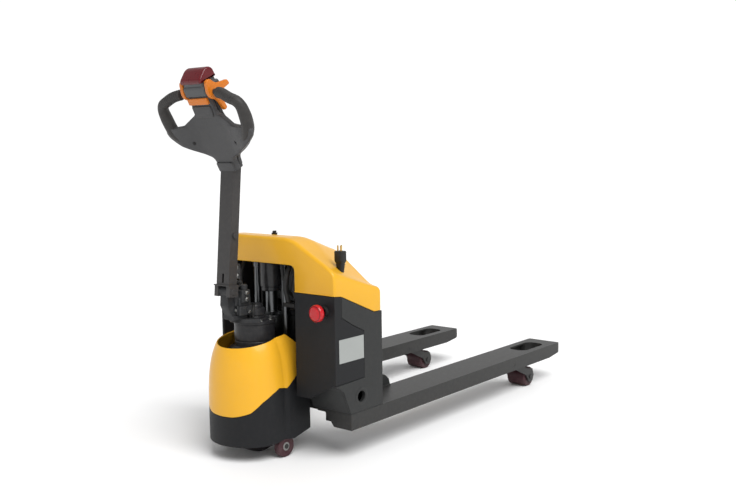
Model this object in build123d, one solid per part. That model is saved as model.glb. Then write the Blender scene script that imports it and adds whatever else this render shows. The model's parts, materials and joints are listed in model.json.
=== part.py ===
from build123d import *
from math import cos, radians, sin
import os

# Electric pallet truck, millimetres. +X runs from the operator's end to the fork tips, -Y is the
# truck's right side for an operator who faces the forks, +Z is up and the floor is Z = 0.
# Every X below is measured from the load face, where the forks leave the body. The whole model is
# shifted by ORIGIN_X when it is written, so that its origin is the middle of its box's base.
ORIGIN_X = -364.52

# --- driving dimensions ------------------------------------------------------------------------
HALF_WIDTH = 342.5          # 685 mm over the forks
FORK_LENGTH = 1220.0
FORK_WIDTH = 147.0
FORK_TOP = 154.5            # the forks stand 67 mm above their lowest position
FORK_BOTTOM = 101.5
FORK_PLATE = 6.0
FORK_Y = HALF_WIDTH - FORK_WIDTH / 2
FORK_INNER = HALF_WIDTH - FORK_WIDTH
SIDE_PLATE = 8.0
FRONT_X = -226.0            # front face of the hood and of the lower covers
HEEL_X = -157.0             # front end of the forks' steelwork
WELL_HALF = 172.0           # half width of the well for the drive unit
LEFT_FRONT_X = -67.0        # the left compartment is this shallow, so the drive unit can be reached
LEFT_WALL = 182.0           # outer side of the well's left wall
RUN_FIT = 0.08              # radial clearance of every pin and shaft that turns or slides
STEER_X = -243.0            # steering axis, which also crosses the drive wheel's axle
PIVOT_X = -358.0            # tiller hinge
PIVOT_Z = 545.0
ARM_LEAN = 5.0              # degrees that the upright tiller leans towards the load
HEAD_TILT = 26.6            # degrees that the tiller head leans away from the load
HEAD_X = -345.0
HEAD_Z = 940.0
COVER_X = -250.0            # centre of the drive cover's round front
COVER_REAR_X = -140.0
COVER_WALL = 4.0
CYLINDER_X = -165.0
RAM_R = 20.0
ROD_Y = 66.0
ROD_R = 12.0
ROLLER_X = 990.5
ROLLER_R = 40.0
ROLLER_HALF = 40.5
LEVER_X = 820.0             # hinge of the load-roller levers
LEVER_Z = 125.0
LINK_Z = 103.0              # pin where a pull rod meets its lever
CASTOR_R = 35.0
CASTOR_INNER = 114.0
CASTOR_OUTER = 136.0
WHEEL_R = 105.0
WHEEL_HALF = 32.0
MOTOR_R = 84.0
MOTOR_BOTTOM = 346.0
MOTOR_TOP = 440.0
STOP_Y = -299.0            # emergency stop
STOP_Z = 490.0
PLUG_X = -149.0
PLUG_Y = -300.0
SEAM_GAP = 1.5              # gap between neighbouring covers

ARM = Plane(origin=(PIVOT_X, 0, PIVOT_Z), x_dir=(0, 1, 0),
            z_dir=(sin(radians(ARM_LEAN)), 0, cos(radians(ARM_LEAN))))
HEAD = Plane(origin=(HEAD_X, 0, HEAD_Z), x_dir=(0, 1, 0),
             z_dir=(cos(radians(HEAD_TILT)), 0, sin(radians(HEAD_TILT))))


# --- helpers -----------------------------------------------------------------------------------
def block(x0, x1, y0, y1, z0, z1):
    """A box between two corners."""
    return Pos((x0 + x1) / 2, (y0 + y1) / 2, (z0 + z1) / 2) * Box(x1 - x0, y1 - y0, z1 - z0)


def side_prism(points, y0, y1):
    """An outline in X and Z carried from y0 to y1."""
    face = make_face(Plane.XZ * Polyline(*points, close=True))
    return extrude(Pos(0, y0, 0) * face, y1 - y0, dir=(0, 1, 0))


def front_prism(points, x0, x1):
    """An outline in Y and Z carried from x0 to x1."""
    face = make_face(Plane.YZ * Polyline(*points, close=True))
    return extrude(Pos(x0, 0, 0) * face, x1 - x0, dir=(1, 0, 0))


def upright(radius, x, y, z0, z1):
    """A cylinder along Z."""
    return Pos(x, y, (z0 + z1) / 2) * Cylinder(radius, z1 - z0)


def crosswise(radius, x, z, y0, y1):
    """A cylinder along Y."""
    return Pos(x, (y0 + y1) / 2, z) * Rot(90, 0, 0) * Cylinder(radius, y1 - y0)


def lengthwise(radius, x0, x1):
    """A cylinder along X on the axis of the emergency stop."""
    return Pos((x0 + x1) / 2, STOP_Y, STOP_Z) * Rot(0, 90, 0) * Cylinder(radius, x1 - x0)


def on_head(shape, y, v, w):
    """Place a shape at (y across, v along, w through) of the tiller head."""
    return HEAD * Pos(y, v, w) * shape


def head_box(y0, y1, v0, v1, w0, w1):
    """A box in the tiller head's own directions."""
    return on_head(Box(y1 - y0, v1 - v0, w1 - w0), (y0 + y1) / 2, (v0 + v1) / 2, (w0 + w1) / 2)


def arm_box(y0, y1, depth, s0, s1):
    """A box along the tiller arm, from s0 to s1 above the hinge."""
    return ARM * Pos((y0 + y1) / 2, 0, (s0 + s1) / 2) * Box(y1 - y0, depth, s1 - s0)


def flip(shape):
    """The same shape on the other side of the truck."""
    return mirror(shape, about=Plane.XZ)


def group(*shapes):
    """Separate solids kept together in one node."""
    return Compound(children=[solid for shape in shapes for solid in shape.solids()])


# --- fork frame --------------------------------------------------------------------------------
def fork(heel_x):
    """Right-hand fork: a pressed channel, open below, with a wedge tip and a slot for the roller."""
    tip_top_x = FORK_LENGTH - 32
    tip_bottom_x = FORK_LENGTH - 113
    nose_z = FORK_BOTTOM + 18
    outline = [(heel_x, FORK_BOTTOM), (tip_bottom_x, FORK_BOTTOM), (FORK_LENGTH - 8, nose_z - 4),
               (FORK_LENGTH, nose_z + 4), (tip_top_x, FORK_TOP), (heel_x, FORK_TOP)]
    body = side_prism(outline, -HALF_WIDTH, -FORK_INNER)
    plan = RectangleRounded(FORK_LENGTH * 2, FORK_WIDTH, 46)
    body &= Pos(0, -FORK_Y, 0) * extrude(plan, 400)
    half_inside = FORK_WIDTH / 2 - FORK_PLATE
    body -= block(heel_x + 40, tip_bottom_x - 10, -FORK_Y - half_inside, -FORK_Y + half_inside,
                  0, FORK_TOP - FORK_PLATE)
    body -= Pos(ROLLER_X + 46, -FORK_Y, 90) * extrude(RectangleRounded(168, 84, 30), 200)
    corner = [(-268, FORK_BOTTOM - 1), (-FORK_INNER + 1, FORK_BOTTOM - 1),
              (-FORK_INNER + 1, FORK_TOP - 9), (-229, FORK_TOP - 9)]
    body -= front_prism(corner, heel_x - 1, heel_x + 38)
    return body - crosswise(9, LEVER_X, LEVER_Z, -HALF_WIDTH - 1, -FORK_INNER + 1)


def side_plate_right():
    """Right-hand side plate, with the tie-down hole and its raised ring."""
    outline = [(0, FORK_TOP), (0, 467), (-38, 467), (-193, 536), (-193, 469), (-187, 467),
               (-147, 443), (-89, 414), (-89, 262), (FRONT_X, 258), (-189, 233), (HEEL_X, FORK_TOP)]
    plate = side_prism(outline, -HALF_WIDTH, -HALF_WIDTH + SIDE_PLATE)
    plate += crosswise(30, -107, 204, -HALF_WIDTH + SIDE_PLATE, -HALF_WIDTH + SIDE_PLATE + 6)
    return plate - crosswise(18, -107, 204, -HALF_WIDTH - 5, -HALF_WIDTH + 20)


def side_plate_left():
    """Left-hand side plate of the shallow compartment."""
    outline = [(0, FORK_TOP), (0, 467), (-38, 467), (LEFT_FRONT_X, 480), (LEFT_FRONT_X, FORK_TOP)]
    plate = side_prism(outline, HALF_WIDTH - SIDE_PLATE, HALF_WIDTH)
    plate += crosswise(26, -34, 204, HALF_WIDTH - SIDE_PLATE - 6, HALF_WIDTH - SIDE_PLATE)
    return plate - crosswise(18, -34, 204, HALF_WIDTH - 20, HALF_WIDTH + 5)


def gusset():
    """Rib on the right-hand fork's inner edge."""
    outline = [(0, FORK_TOP), (0, 330), (150, 208), (184, 193), (200, 178), (208, FORK_TOP)]
    return side_prism(outline, -FORK_INNER - 8, -FORK_INNER)


def heel_left():
    """Left-hand heel: front plate of the shallow compartment and the gusset on the fork."""
    front = block(LEFT_FRONT_X, LEFT_FRONT_X + 6, LEFT_WALL + 0.5, HALF_WIDTH - SIDE_PLATE, FORK_TOP, 478)
    front -= block(-112, -8, -FORK_INNER, FORK_INNER, 129, 180.5)
    return group(front, flip(gusset()))


def heel_right():
    """Right-hand heel: bent front plate, battery shelf and the gusset on the fork."""
    bend = [(HEEL_X, FORK_TOP), (-189, 233), (-219.5, 253.5), (-219.5, 262), (-182, 238),
            (-149, FORK_TOP)]
    wall = -HALF_WIDTH + SIDE_PLATE
    front = side_prism(bend, wall, -WELL_HALF - 4)
    shelf = block(-205, -10, wall, -WELL_HALF - 14, 256, 264)
    return group(front, shelf, gusset())


def rear_plate():
    """Plate across the load face."""
    wall = HALF_WIDTH - SIDE_PLATE
    plate = block(-8, 0, -wall, wall, FORK_TOP, 467)
    return plate + block(-8, 0, -FORK_INNER, FORK_INNER, 129, FORK_TOP + 1)


def cross_member():
    """Box beam that joins the two forks under the body."""
    beam = block(-112, -8, -FORK_INNER, FORK_INNER, 129, 180)
    return beam - block(-104, -16, -FORK_INNER - 1, FORK_INNER + 1, 137, 172)


def cylinder_mast():
    """Two ribs and a head plate that carry the lift cylinder and the guide rods."""
    head = block(-212, -12, -120, 120, 636, 650) - upright(37, CYLINDER_X, 0, 630, 660)
    rib = block(-120, -12, 112, 120, 180, 636)
    return head + rib + flip(rib)


def guide_rods():
    """Two rods that guide the drive unit."""
    rod = upright(ROD_R, CYLINDER_X, -ROD_Y, 262, 636)
    return group(rod, flip(rod))


def lift_cylinder():
    """Cylinder barrel with its gland; the ram pushes down on the drive unit."""
    barrel = upright(37, CYLINDER_X, 0, 540, 668)
    gland = upright(33, CYLINDER_X, 0, 525, 540)
    return barrel + gland - upright(RAM_R + RUN_FIT, CYLINDER_X, 0, 500, 660)


def hood_section(x, low, side, shoulder, crown, inset):
    """One cross-section of the hood; side, shoulder and crown are (half width, height)."""
    half = [(side[0] - inset, low), (side[0] - inset, side[1]),
            (shoulder[0] - inset, shoulder[1] - inset), (crown[0] - inset / 2, crown[1] - inset)]
    points = half + [(-y, z) for y, z in reversed(half)]
    return make_face(Plane.YZ.offset(x) * Polyline(*points, close=True))


def hood_body(inset):
    """Solid hood, inset by a wall's thickness; it tapers and drops towards the load."""
    front = hood_section(FRONT_X + inset, 440, (HALF_WIDTH, 609), (318, 631), (153, 713), inset)
    ridge = hood_section(-140, 440, (HALF_WIDTH, 582), (311, 600), (151, 711), inset)
    rear = hood_section(-4 - inset, 440, (HALF_WIDTH, 541), (300, 549), (147, 659), inset)
    return loft([front, ridge], ruled=True) + loft([ridge, rear], ruled=True)


def hood():
    """Upper cover with the arched opening over the drive unit."""
    wall = 5.0
    seam = [(FRONT_X - 5, 400), (FRONT_X - 5, 541), (-195, 538), (-38, 469), (5, 469), (5, 400)]
    outer = hood_body(0) - block(FRONT_X - 5, LEFT_FRONT_X, LEFT_WALL, 350, 400, 760)
    inner = hood_body(wall) - block(FRONT_X - 5, LEFT_FRONT_X + wall, LEFT_WALL - wall, 350, 400, 760)
    shell = outer - inner
    arch = extrude(Plane.YZ * RectangleRounded(2 * 170, 2 * 225, 22), 300)
    shell -= Pos(-400, 0, 400) * arch
    liner = extrude(Plane.YZ * RectangleRounded(2 * 174, 2 * 229, 26), 100)
    liner -= Pos(-1, 0, 0) * extrude(Plane.YZ * RectangleRounded(2 * 170, 2 * 225, 22), 102)
    liner -= block(14, 120, -160, 160, 200, 240)
    shell += Pos(FRONT_X, 0, 400) * liner
    shell -= side_prism(seam, -HALF_WIDTH - 5, HALF_WIDTH + 5)
    shell -= block(-400, -50, -180, LEFT_WALL - wall, 100, 541)
    shell -= upright(9, -144, 0, 690, 730)
    return shell - plug_waist()


def cheek_left():
    """Left-hand wall of the well."""
    outline = [(FRONT_X, 204), (LEFT_FRONT_X - 0.5, 204), (LEFT_FRONT_X - 0.5, 480.5), (-195, 536.5),
               (FRONT_X, 541 - SEAM_GAP)]
    return side_prism(outline, WELL_HALF, LEFT_WALL)


def cheek_right():
    """Right-hand lower cover: front, side and well walls in one moulding."""
    wall = 6.0
    top = 541 - SEAM_GAP
    front = front_prism([(-HALF_WIDTH, 260), (-334, 259.5), (-230, 204), (-WELL_HALF, 204),
                         (-WELL_HALF, top), (-HALF_WIDTH, top)], FRONT_X, FRONT_X + wall)
    skin = [(FRONT_X, 260), (-90.5, 263.6), (-90.5, 413), (-148, 441.6), (-188, 465.6),
            (-194.5, 467.9), (-194.5, top), (FRONT_X, top)]
    side = side_prism(skin, -HALF_WIDTH, -HALF_WIDTH + wall)
    well = block(FRONT_X, -126, -WELL_HALF - 4, -WELL_HALF, 204, top)
    seam = [(FRONT_X - 1, top), (-195, top - 3), (-100, top - 4.5), (-100, 560), (FRONT_X - 1, 560)]
    cover = front + side + well - side_prism(seam, -HALF_WIDTH - 1, 0)
    return cover - lengthwise(11, FRONT_X - 20, FRONT_X + 20)


def rating_plate():
    """Blank plate riveted to the right-hand cover."""
    return block(-208, -92.5, -HALF_WIDTH - 0.6, -HALF_WIDTH, 327, 402)


def e_stop_base():
    """Collar of the emergency stop, through the right-hand cover."""
    base = lengthwise(19, FRONT_X - 10, FRONT_X) + lengthwise(11, FRONT_X, FRONT_X + 20)
    return base - lengthwise(7 + RUN_FIT, FRONT_X - 30, FRONT_X + 30)


def e_stop_button():
    """Mushroom head and stem."""
    head = lengthwise(27, FRONT_X - 46, FRONT_X - 20)
    head = fillet(head.edges().sort_by(Axis.X)[0], 8)
    return head + lengthwise(7, FRONT_X - 22, FRONT_X + 8)


def plug_waist():
    """Tapered neck of the plug, which sits in the hood's shoulder."""
    return Pos(PLUG_X, PLUG_Y, 617) * Cone(8, 15, 40)


def charger_plug():
    """Mains plug parked in the hood's shoulder, blades up."""
    body = chamfer(Box(28, 36, 36).edges().filter_by(Axis.Z), 5)
    return Pos(PLUG_X, PLUG_Y, 655) * body + plug_waist() + upright(8, PLUG_X, PLUG_Y, 570, 597)


def plug_blades():
    """Two flat blades and the round earth pin."""
    blades = [block(PLUG_X - 5, PLUG_X - 3.4, PLUG_Y + y - 3.2, PLUG_Y + y + 3.2, 673, 691)
              for y in (-6.4, 6.4)]
    return group(*blades, upright(2.4, PLUG_X + 6, PLUG_Y, 673, 692))


def key_base():
    """Lock barrel in the top of the hood."""
    barrel = upright(8.9, -144, 0, 670, 714) + upright(11, -144, 0, 713.5, 716)
    return barrel - upright(5 + RUN_FIT, -144, 0, 680, 730)


def key_knob():
    """Key with its bow."""
    return upright(5, -144, 0, 690, 718) + block(-151, -137, -2.5, 2.5, 717, 723)


def battery():
    """Battery pack on the right-hand shelf."""
    return block(-200, -24, -328, -186, 264, 424) + block(-194, -30, -322, -192, 424, 440)


def pump_unit():
    """Pump motor standing on the hydraulic tank."""
    tank = block(-108, -20, -90, 90, 190, 270)
    return tank + upright(40, -64, 0, 270, 430) + upright(33, -64, 0, 430, 446)


def charger():
    """On-board charger above the right-hand battery."""
    return block(-190, -30, -318, -196, 440, 500)


def controller():
    """Motor controller between the mast's ribs."""
    return block(-44, -12, -100, 100, 470, 600)


def harness():
    """Motor cables and hoses that drop from the head plate, held in a clamp."""
    routes = []
    for x, y, radius in ((-205, -118, 8), (-190, -140, 7), (-205, 100, 6)):
        top = (x + 20, y, 627 if abs(y) > 120 else 633)
        path = FilletPolyline(top, (x, y, 590), (x - 4, y + (6 if y < 0 else 0), 545),
                              (x + 6, y + (2 if y < 0 else 0), 500), radius=40)
        section = Plane(origin=path @ 0, z_dir=path % 0) * Circle(radius)
        routes.append(sweep(section, path=path))
    clamp = block(-212, -184, -155, -104, 486, 498)
    return group(*[route - clamp for route in routes], clamp)


# --- drive unit that the cylinder pushes down ------------------------------------------------------
def base_plate():
    """Plate that carries the slewing ring, castor posts and cover."""
    plate = block(-335, -138, -112, 112, 318, 330) + block(-262, -138, -136, 136, 318, 330)
    plate &= Pos(0, 0, -3) * cover_solid(COVER_WALL + 1)
    plate -= upright(84, STEER_X, 0, 300, 340)
    for side in (-1, 1):
        plate -= upright(ROD_R + RUN_FIT, CYLINDER_X, side * ROD_Y, 300, 340)
    return plate


def slew_ring():
    """Bearing ring between the base plate and the steered unit."""
    return upright(89, STEER_X, 0, 330, 343) - upright(80 + RUN_FIT, STEER_X, 0, 320, 350)


def lift_ram():
    """Ram with its foot on a bridge behind the motor."""
    ram = upright(RAM_R, CYLINDER_X, 0, 450, 588)
    bridge = block(-187, -138, -24, 24, 443, 454)
    legs = block(-148, -138, -46, 46, 330, 454) + block(-156, -138, -40, 40, 348, 454)
    return ram + bridge + legs


def castor_frame():
    """Posts and axles of the two stabiliser wheels."""
    post = block(-258, -228, 112, 126, 100, 318)
    bridge = block(-258, -228, 112, 136, 76, 100)
    ear = block(-255, -231, 108, 112, 22, 84)
    axle = crosswise(8, STEER_X, CASTOR_R, 109, CASTOR_OUTER + 2)
    right = flip(post + bridge + ear + axle)
    return group(right, post + bridge + ear + axle)


def cover_profile(inset):
    """Half section of the drive cover: (distance from its middle, height)."""
    return [(0, 50), (145 - inset, 50), (145 - inset, 200), (142 - inset, 270), (133 - inset, 325),
            (118 - inset, 368), (99 - inset, 395), (0, 440)]


def cover_solid(inset):
    """Round front and straight flanks, both with the same section."""
    section = make_face(Plane.XZ * Polyline(*cover_profile(inset), close=True))
    front = Pos(COVER_X, 0, 0) * Rot(0, 0, 90) * revolve(section, Axis.Z, 180)
    half = cover_profile(inset)
    full = half[1:-1] + [(-y, z) for y, z in reversed(half[1:-1])]
    return front + front_prism(full, COVER_X, COVER_REAR_X)


def cover_shell():
    """Drive cover before it is parted into its two mouldings."""
    shell = cover_solid(0) - Pos(0, 0, -3) * cover_solid(COVER_WALL)
    rim = [(-400, 358), (-342, 370), (-243, 390), (-205, 394), (-143, 331), (-100, 288), (-100, 480),
           (-400, 480)]
    shell -= side_prism(rim, -200, 200)
    shell -= upright(96, STEER_X, 0, 340, 480)
    hem = [(-410, 40), (-410, 51), (-300, 55), (-256, 63), (-213, 56), (-140, 74), (-100, 74), (-100, 40)]
    return shell - side_prism(hem, -200, 200)


def cover_split(drop):
    """Region above the parting line between the two mouldings, lowered by drop."""
    line = [(-410, 146), (-388, 150), (-360, 165), (-331, 197), (-300, 220), (-273, 235), (-240, 227),
            (-150, 296), (-100, 300)]
    return side_prism([(x, z - drop) for x, z in line] + [(-100, 500), (-410, 500)], -200, 200)


def drive_cover():
    """Upper moulding of the drive cover."""
    return cover_shell() & cover_split(0)


def drive_skirt():
    """Lower moulding of the drive cover."""
    return cover_shell() - cover_split(SEAM_GAP)


# --- steered unit ------------------------------------------------------------------------------
def gearbox():
    """Gear leg beside the drive wheel, with its flange and neck."""
    leg = block(STEER_X - 50, STEER_X + 50, 38.5, 66, 60, 296)
    leg += crosswise(50, STEER_X, WHEEL_R, 38.5, 66)
    flange = upright(86, STEER_X, 0, 296, 316)
    neck = upright(80, STEER_X, 0, 316, MOTOR_BOTTOM)
    return leg + flange + neck - crosswise(25, STEER_X, WHEEL_R, 30, 62)


def drive_motor():
    """Upright traction motor, which turns with the steering."""
    return Pos(STEER_X, 0, (MOTOR_BOTTOM + MOTOR_TOP) / 2) * Cone(82, MOTOR_R, MOTOR_TOP - MOTOR_BOTTOM)


def motor_brake():
    """Electromagnetic brake on the motor's tail shaft."""
    return upright(36, STEER_X, 0, MOTOR_TOP, 478) + upright(28, STEER_X, 0, 478, 490)


def tiller_base():
    """Casting from the motor to the tiller's hinge."""
    pad = upright(80, STEER_X, 0, MOTOR_TOP, 452) & block(-400, -282, -90, 90, 430, 460)
    neck = side_prism([(-300, 452), (-300, 470), (-338, 500), (-346, 545), (-366, 545), (-370, 500),
                       (-352, 464), (-330, 440), (-320, 440), (-320, 452)], -18, 18)
    boss = crosswise(16, PIVOT_X, PIVOT_Z, -18, 18)
    web = block(-352, -296, -26, 26, 452, 466)
    return pad + web + neck + boss - crosswise(10 + RUN_FIT, PIVOT_X, PIVOT_Z, -30, 30)


def drive_hub():
    """Hub of the drive wheel with its stub axle."""
    return crosswise(60, STEER_X, WHEEL_R, -30, 30) + crosswise(25 - RUN_FIT, STEER_X, WHEEL_R, 30, 60)


def drive_tyre():
    """Polyurethane tyre of the drive wheel."""
    tyre = crosswise(WHEEL_R, STEER_X, WHEEL_R, -WHEEL_HALF, WHEEL_HALF)
    tyre = chamfer(tyre.edges().filter_by(GeomType.CIRCLE), 5)
    return tyre - crosswise(60, STEER_X, WHEEL_R, -40, 40)


def castor_wheel():
    """Right-hand stabiliser wheel."""
    wheel = crosswise(CASTOR_R, STEER_X, CASTOR_R, -CASTOR_OUTER, -CASTOR_INNER)
    wheel = chamfer(wheel.edges().filter_by(GeomType.CIRCLE), 3)
    return wheel - crosswise(8 + RUN_FIT, STEER_X, CASTOR_R, -150, -100)


# --- tiller ------------------------------------------------------------------------------------
def tiller_pin():
    """Hinge pin of the tiller, fixed in the arm's foot."""
    return crosswise(10, PIVOT_X, PIVOT_Z, -38, 38)


def arm_foot():
    """Clevis at the foot of the arm."""
    foot = arm_box(19, 36, 36, -16, 18) + arm_box(-36, -19, 36, -16, 18) + arm_box(-36, 36, 44, 18, 22)
    return foot - crosswise(10, PIVOT_X, PIVOT_Z, -50, 50)


def tiller_arm():
    """Rectangular tube of the tiller with a slot at its foot."""
    tube = arm_box(-29, 29, 33, 22, 402) - arm_box(-25, 25, 26, 28, 410)
    tube -= ARM * Pos(0, 16, 42) * Box(9, 12, 30)
    return tube - crosswise(6, PIVOT_X + 15.5, 722, -50, 50)


def gas_spring():
    """Gas spring inside the arm, hung from the bolt."""
    body = ARM * Pos(0, 0, 120) * Cylinder(11, 110)
    rod = ARM * Pos(0, 0, 57) * Cylinder(5, 20)
    return body + rod - crosswise(6, PIVOT_X + 15.5, 722, -50, 50)


def spring_bolt():
    """Bolt that holds the gas spring's upper end."""
    return crosswise(6, PIVOT_X + 15.5, 722, -32, 32) + crosswise(9, PIVOT_X + 15.5, 722, -36, -29) \
        + crosswise(9, PIVOT_X + 15.5, 722, 29, 36)


def head_outline():
    """Outline of the head's lower shell across and along the head."""
    half = [(40, -16), (44, 26), (104, 52), (170, 84), (204, 110), (211, 130), (182, 142), (150, 138),
            (118, 142), (74, 164), (48, 176), (48, 234)]
    return make_face(Polyline(*half, *[(-y, v) for y, v in reversed(half)], close=True))


def head_shell():
    """Lower shell of the tiller head with its centre column."""
    shell = HEAD * Pos(0, 0, 2) * extrude(head_outline(), 24)
    return shell - arm_box(-29, 29, 33, 300, 402) - head_box(-47, 47, 208, 240, -5, 8)


def head_back():
    """Upper shell of the tiller head, on the load side."""
    half = [(38, -6), (42, 24), (104, 54), (168, 87), (200, 112), (205, 128), (180, 138), (150, 134),
            (116, 138), (72, 160), (46, 172), (46, 232)]
    face = make_face(Polyline(*half, *[(-y, v) for y, v in reversed(half)], close=True))
    return HEAD * Pos(0, 0, 26) * extrude(face, 18) - arm_box(-29, 29, 33, 300, 402)


def loop():
    """Right-hand handle loop from the head's wing to the grip end."""
    path = FilletPolyline((-193, 120, 20), (-193, 214, 20), (-120, 239, 20), (-69, 242, 20),
                          radius=28)
    tube = sweep(Plane(origin=path @ 0, z_dir=path % 0) * Circle(15), path=path)
    spigot = Pos(-59, 242, 20) * Rot(0, 90, 0) * Cylinder(9, 22)
    wing = extrude(head_outline(), 60)
    return HEAD * (tube + spigot - wing)


def control_box():
    """Housing between the grips that holds the switches."""
    box = head_box(-48, 48, 236, 267, -2, 68) + head_box(-45, 45, 267, 288, 2, 60)
    return box - on_head(Cylinder(11 + RUN_FIT, 14), 0, 252, 65)


def belly_switch():
    """Safety button over the end of the head."""
    cap = on_head(chamfer(Box(98, 38, 72).edges(), 4), 0, 295, 28)
    return cap - head_box(-46, 46, 270, 299, 1, 61)


def throttle():
    """Two thumb paddles on the grip axis, linked to turn together."""
    wing = [(246, -4), (282, 6), (284, 22), (262, 38), (256, 84), (240, 88), (234, 46), (222, 40),
            (180, 46), (176, 32), (216, 22), (228, 2)]
    face = make_face(Polyline(*[(v, w) for v, w in wing], close=True))
    plane = Plane(origin=HEAD.from_local_coords(Vector(-65, 0, 0)), x_dir=HEAD.y_dir, z_dir=HEAD.x_dir)
    paddle = plane * extrude(face, 14)
    bore = on_head(Rot(0, 90, 0) * Cylinder(9 + RUN_FIT, 60), -58, 242, 20)
    hub = on_head(Rot(0, 90, 0) * Cylinder(17, 14), -58, 242, 20)
    right = paddle + hub - bore
    return group(right, flip(right))


def lift_rocker():
    """Finger bar under the box that raises and lowers the forks."""
    return head_box(-45, 45, 211, 232, -5, 5)


def horn_button():
    """Horn button on the load side of the box."""
    return on_head(Cylinder(11, 12), 0, 252, 67)


# --- load rollers ------------------------------------------------------------------------------
def roller_lever():
    """Right-hand lever: two cheek plates, hinge tube and roller axle."""
    plate = [(LEVER_X - 16, LEVER_Z - 4), (LEVER_X - 12, LEVER_Z + 14), (LEVER_X + 14, LEVER_Z + 14),
             (ROLLER_X - 20, 78), (ROLLER_X + 16, 72), (ROLLER_X + 26, 44), (ROLLER_X + 14, 20),
             (ROLLER_X - 12, 20), (ROLLER_X - 34, 52), (LEVER_X + 14, LEVER_Z - 14),
             (LEVER_X + 7, 97), (LEVER_X - 7, 97)]
    outer = side_prism(plate, -FORK_Y - 50, -FORK_Y - 44)
    inner = side_prism(plate, -FORK_Y + 44, -FORK_Y + 50)
    tube = crosswise(11.5, LEVER_X, LEVER_Z, -FORK_Y - 44, -FORK_Y + 44)
    link = crosswise(4, LEVER_X, LINK_Z, -FORK_Y - 44, -FORK_Y + 44)
    axle = crosswise(10, ROLLER_X, ROLLER_R, -FORK_Y - 54, -FORK_Y + 54)
    pin = crosswise(9 - RUN_FIT, LEVER_X, LEVER_Z, -HALF_WIDTH + 0.5, -FORK_INNER - 0.5)
    return outer + inner + tube + link + axle + pin


def load_roller():
    """Right-hand load roller."""
    roller = crosswise(ROLLER_R, ROLLER_X, ROLLER_R, -FORK_Y - ROLLER_HALF, -FORK_Y + ROLLER_HALF)
    roller = chamfer(roller.edges().filter_by(GeomType.CIRCLE), 3)
    return roller - crosswise(10 + RUN_FIT, ROLLER_X, ROLLER_R, -FORK_Y - 60, -FORK_Y + 60)


def pull_rod():
    """Right-hand rod inside the fork, which swings its lever."""
    rod = block(-20, LEVER_X - 40, -FORK_Y - 8, -FORK_Y + 8, 106, 118)
    rod += block(LEVER_X - 52, LEVER_X - 6, -FORK_Y - 8, -FORK_Y + 8, 98, 110)
    rod += crosswise(9, LEVER_X, LINK_Z, -FORK_Y - 8, -FORK_Y + 8)
    return rod - crosswise(6, LEVER_X, LINK_Z, -FORK_Y - 9, -FORK_Y + 9)


# --- writing -----------------------------------------------------------------------------------
def sub_parts():
    """Every node by name."""
    pairs = {"castor_wheel": castor_wheel(), "handle_loop": loop(), "roller_lever": roller_lever(),
             "load_roller": load_roller(), "pull_rod": pull_rod()}
    nodes = {"fork_right": fork(HEEL_X), "fork_left": flip(fork(LEFT_FRONT_X - 8))}
    for name, shape in pairs.items():
        nodes[name + "_right"] = shape
        nodes[name + "_left"] = flip(shape)
    for make in (side_plate_right, side_plate_left, heel_right, heel_left, cheek_right, cheek_left,
                 rear_plate, cross_member, cylinder_mast, guide_rods, lift_cylinder, hood, rating_plate,
                 e_stop_base, e_stop_button, charger_plug, plug_blades, key_base, key_knob, battery,
                 pump_unit, charger, controller, harness, base_plate, slew_ring, lift_ram, castor_frame,
                 drive_cover, drive_skirt, gearbox, drive_motor, motor_brake, tiller_base, drive_hub,
                 drive_tyre, tiller_pin, arm_foot, tiller_arm, gas_spring, spring_bolt, head_shell,
                 head_back, control_box, belly_switch, throttle, lift_rocker, horn_button):
        nodes[make.__name__] = make()
    return nodes


def write():
    """Write one STEP file for each node and print the whole model's box."""
    os.makedirs("parts", exist_ok=True)
    placed = {name: Pos(ORIGIN_X, 0, 0) * shape for name, shape in sub_parts().items()}
    for name, shape in placed.items():
        export_step(shape, "parts/" + name + ".step")
    whole = Compound(children=list(placed.values())).bounding_box()
    print("box", whole.min, whole.max)


write()
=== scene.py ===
"""Looks of an electric pallet truck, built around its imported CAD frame."""

import json
import logging
import math
from collections.abc import Callable
from dataclasses import dataclass, field
from enum import Enum

import bmesh
import bpy
import numpy as np
from mathutils import Matrix, Vector


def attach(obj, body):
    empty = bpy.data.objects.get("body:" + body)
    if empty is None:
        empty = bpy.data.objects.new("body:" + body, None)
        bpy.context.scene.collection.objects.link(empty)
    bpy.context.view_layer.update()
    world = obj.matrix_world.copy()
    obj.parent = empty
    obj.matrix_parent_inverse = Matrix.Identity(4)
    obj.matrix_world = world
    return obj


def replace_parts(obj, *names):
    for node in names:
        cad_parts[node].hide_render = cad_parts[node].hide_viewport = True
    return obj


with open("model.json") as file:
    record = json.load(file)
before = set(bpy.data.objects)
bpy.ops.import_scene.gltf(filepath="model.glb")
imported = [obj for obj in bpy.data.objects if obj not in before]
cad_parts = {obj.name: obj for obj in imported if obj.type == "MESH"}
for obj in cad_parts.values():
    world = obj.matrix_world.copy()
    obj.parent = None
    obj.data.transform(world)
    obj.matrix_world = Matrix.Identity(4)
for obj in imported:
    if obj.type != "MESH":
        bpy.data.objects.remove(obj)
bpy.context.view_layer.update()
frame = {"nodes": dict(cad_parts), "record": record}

LOG = logging.getLogger("pallet_truck")
# Lengths are in millimetres and angles in degrees, unless a name or a docstring says otherwise.
LOAD_FACE_X = -364.52
HEAD_X, HEAD_Z = -345.0, 940.0
HEAD_TILT = math.radians(26.6)
WING_START, WING_SPAN, WING_SWEEP, WING_NARROWING = 55.0, 110.0, 22.0, 0.05
# Points closer than this, in metres, become one.
MERGE_M = 2e-6
# Radius at which a lathe profile is closed by a flat face.
CORE = 0.3
Array = np.ndarray
Surface = tuple[Array, list]
Placing = Callable[[Array, Array, Array], Array]
SLOTS = {part["node"]: part["material_slot"] for part in frame["record"]["subparts"]}


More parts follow.
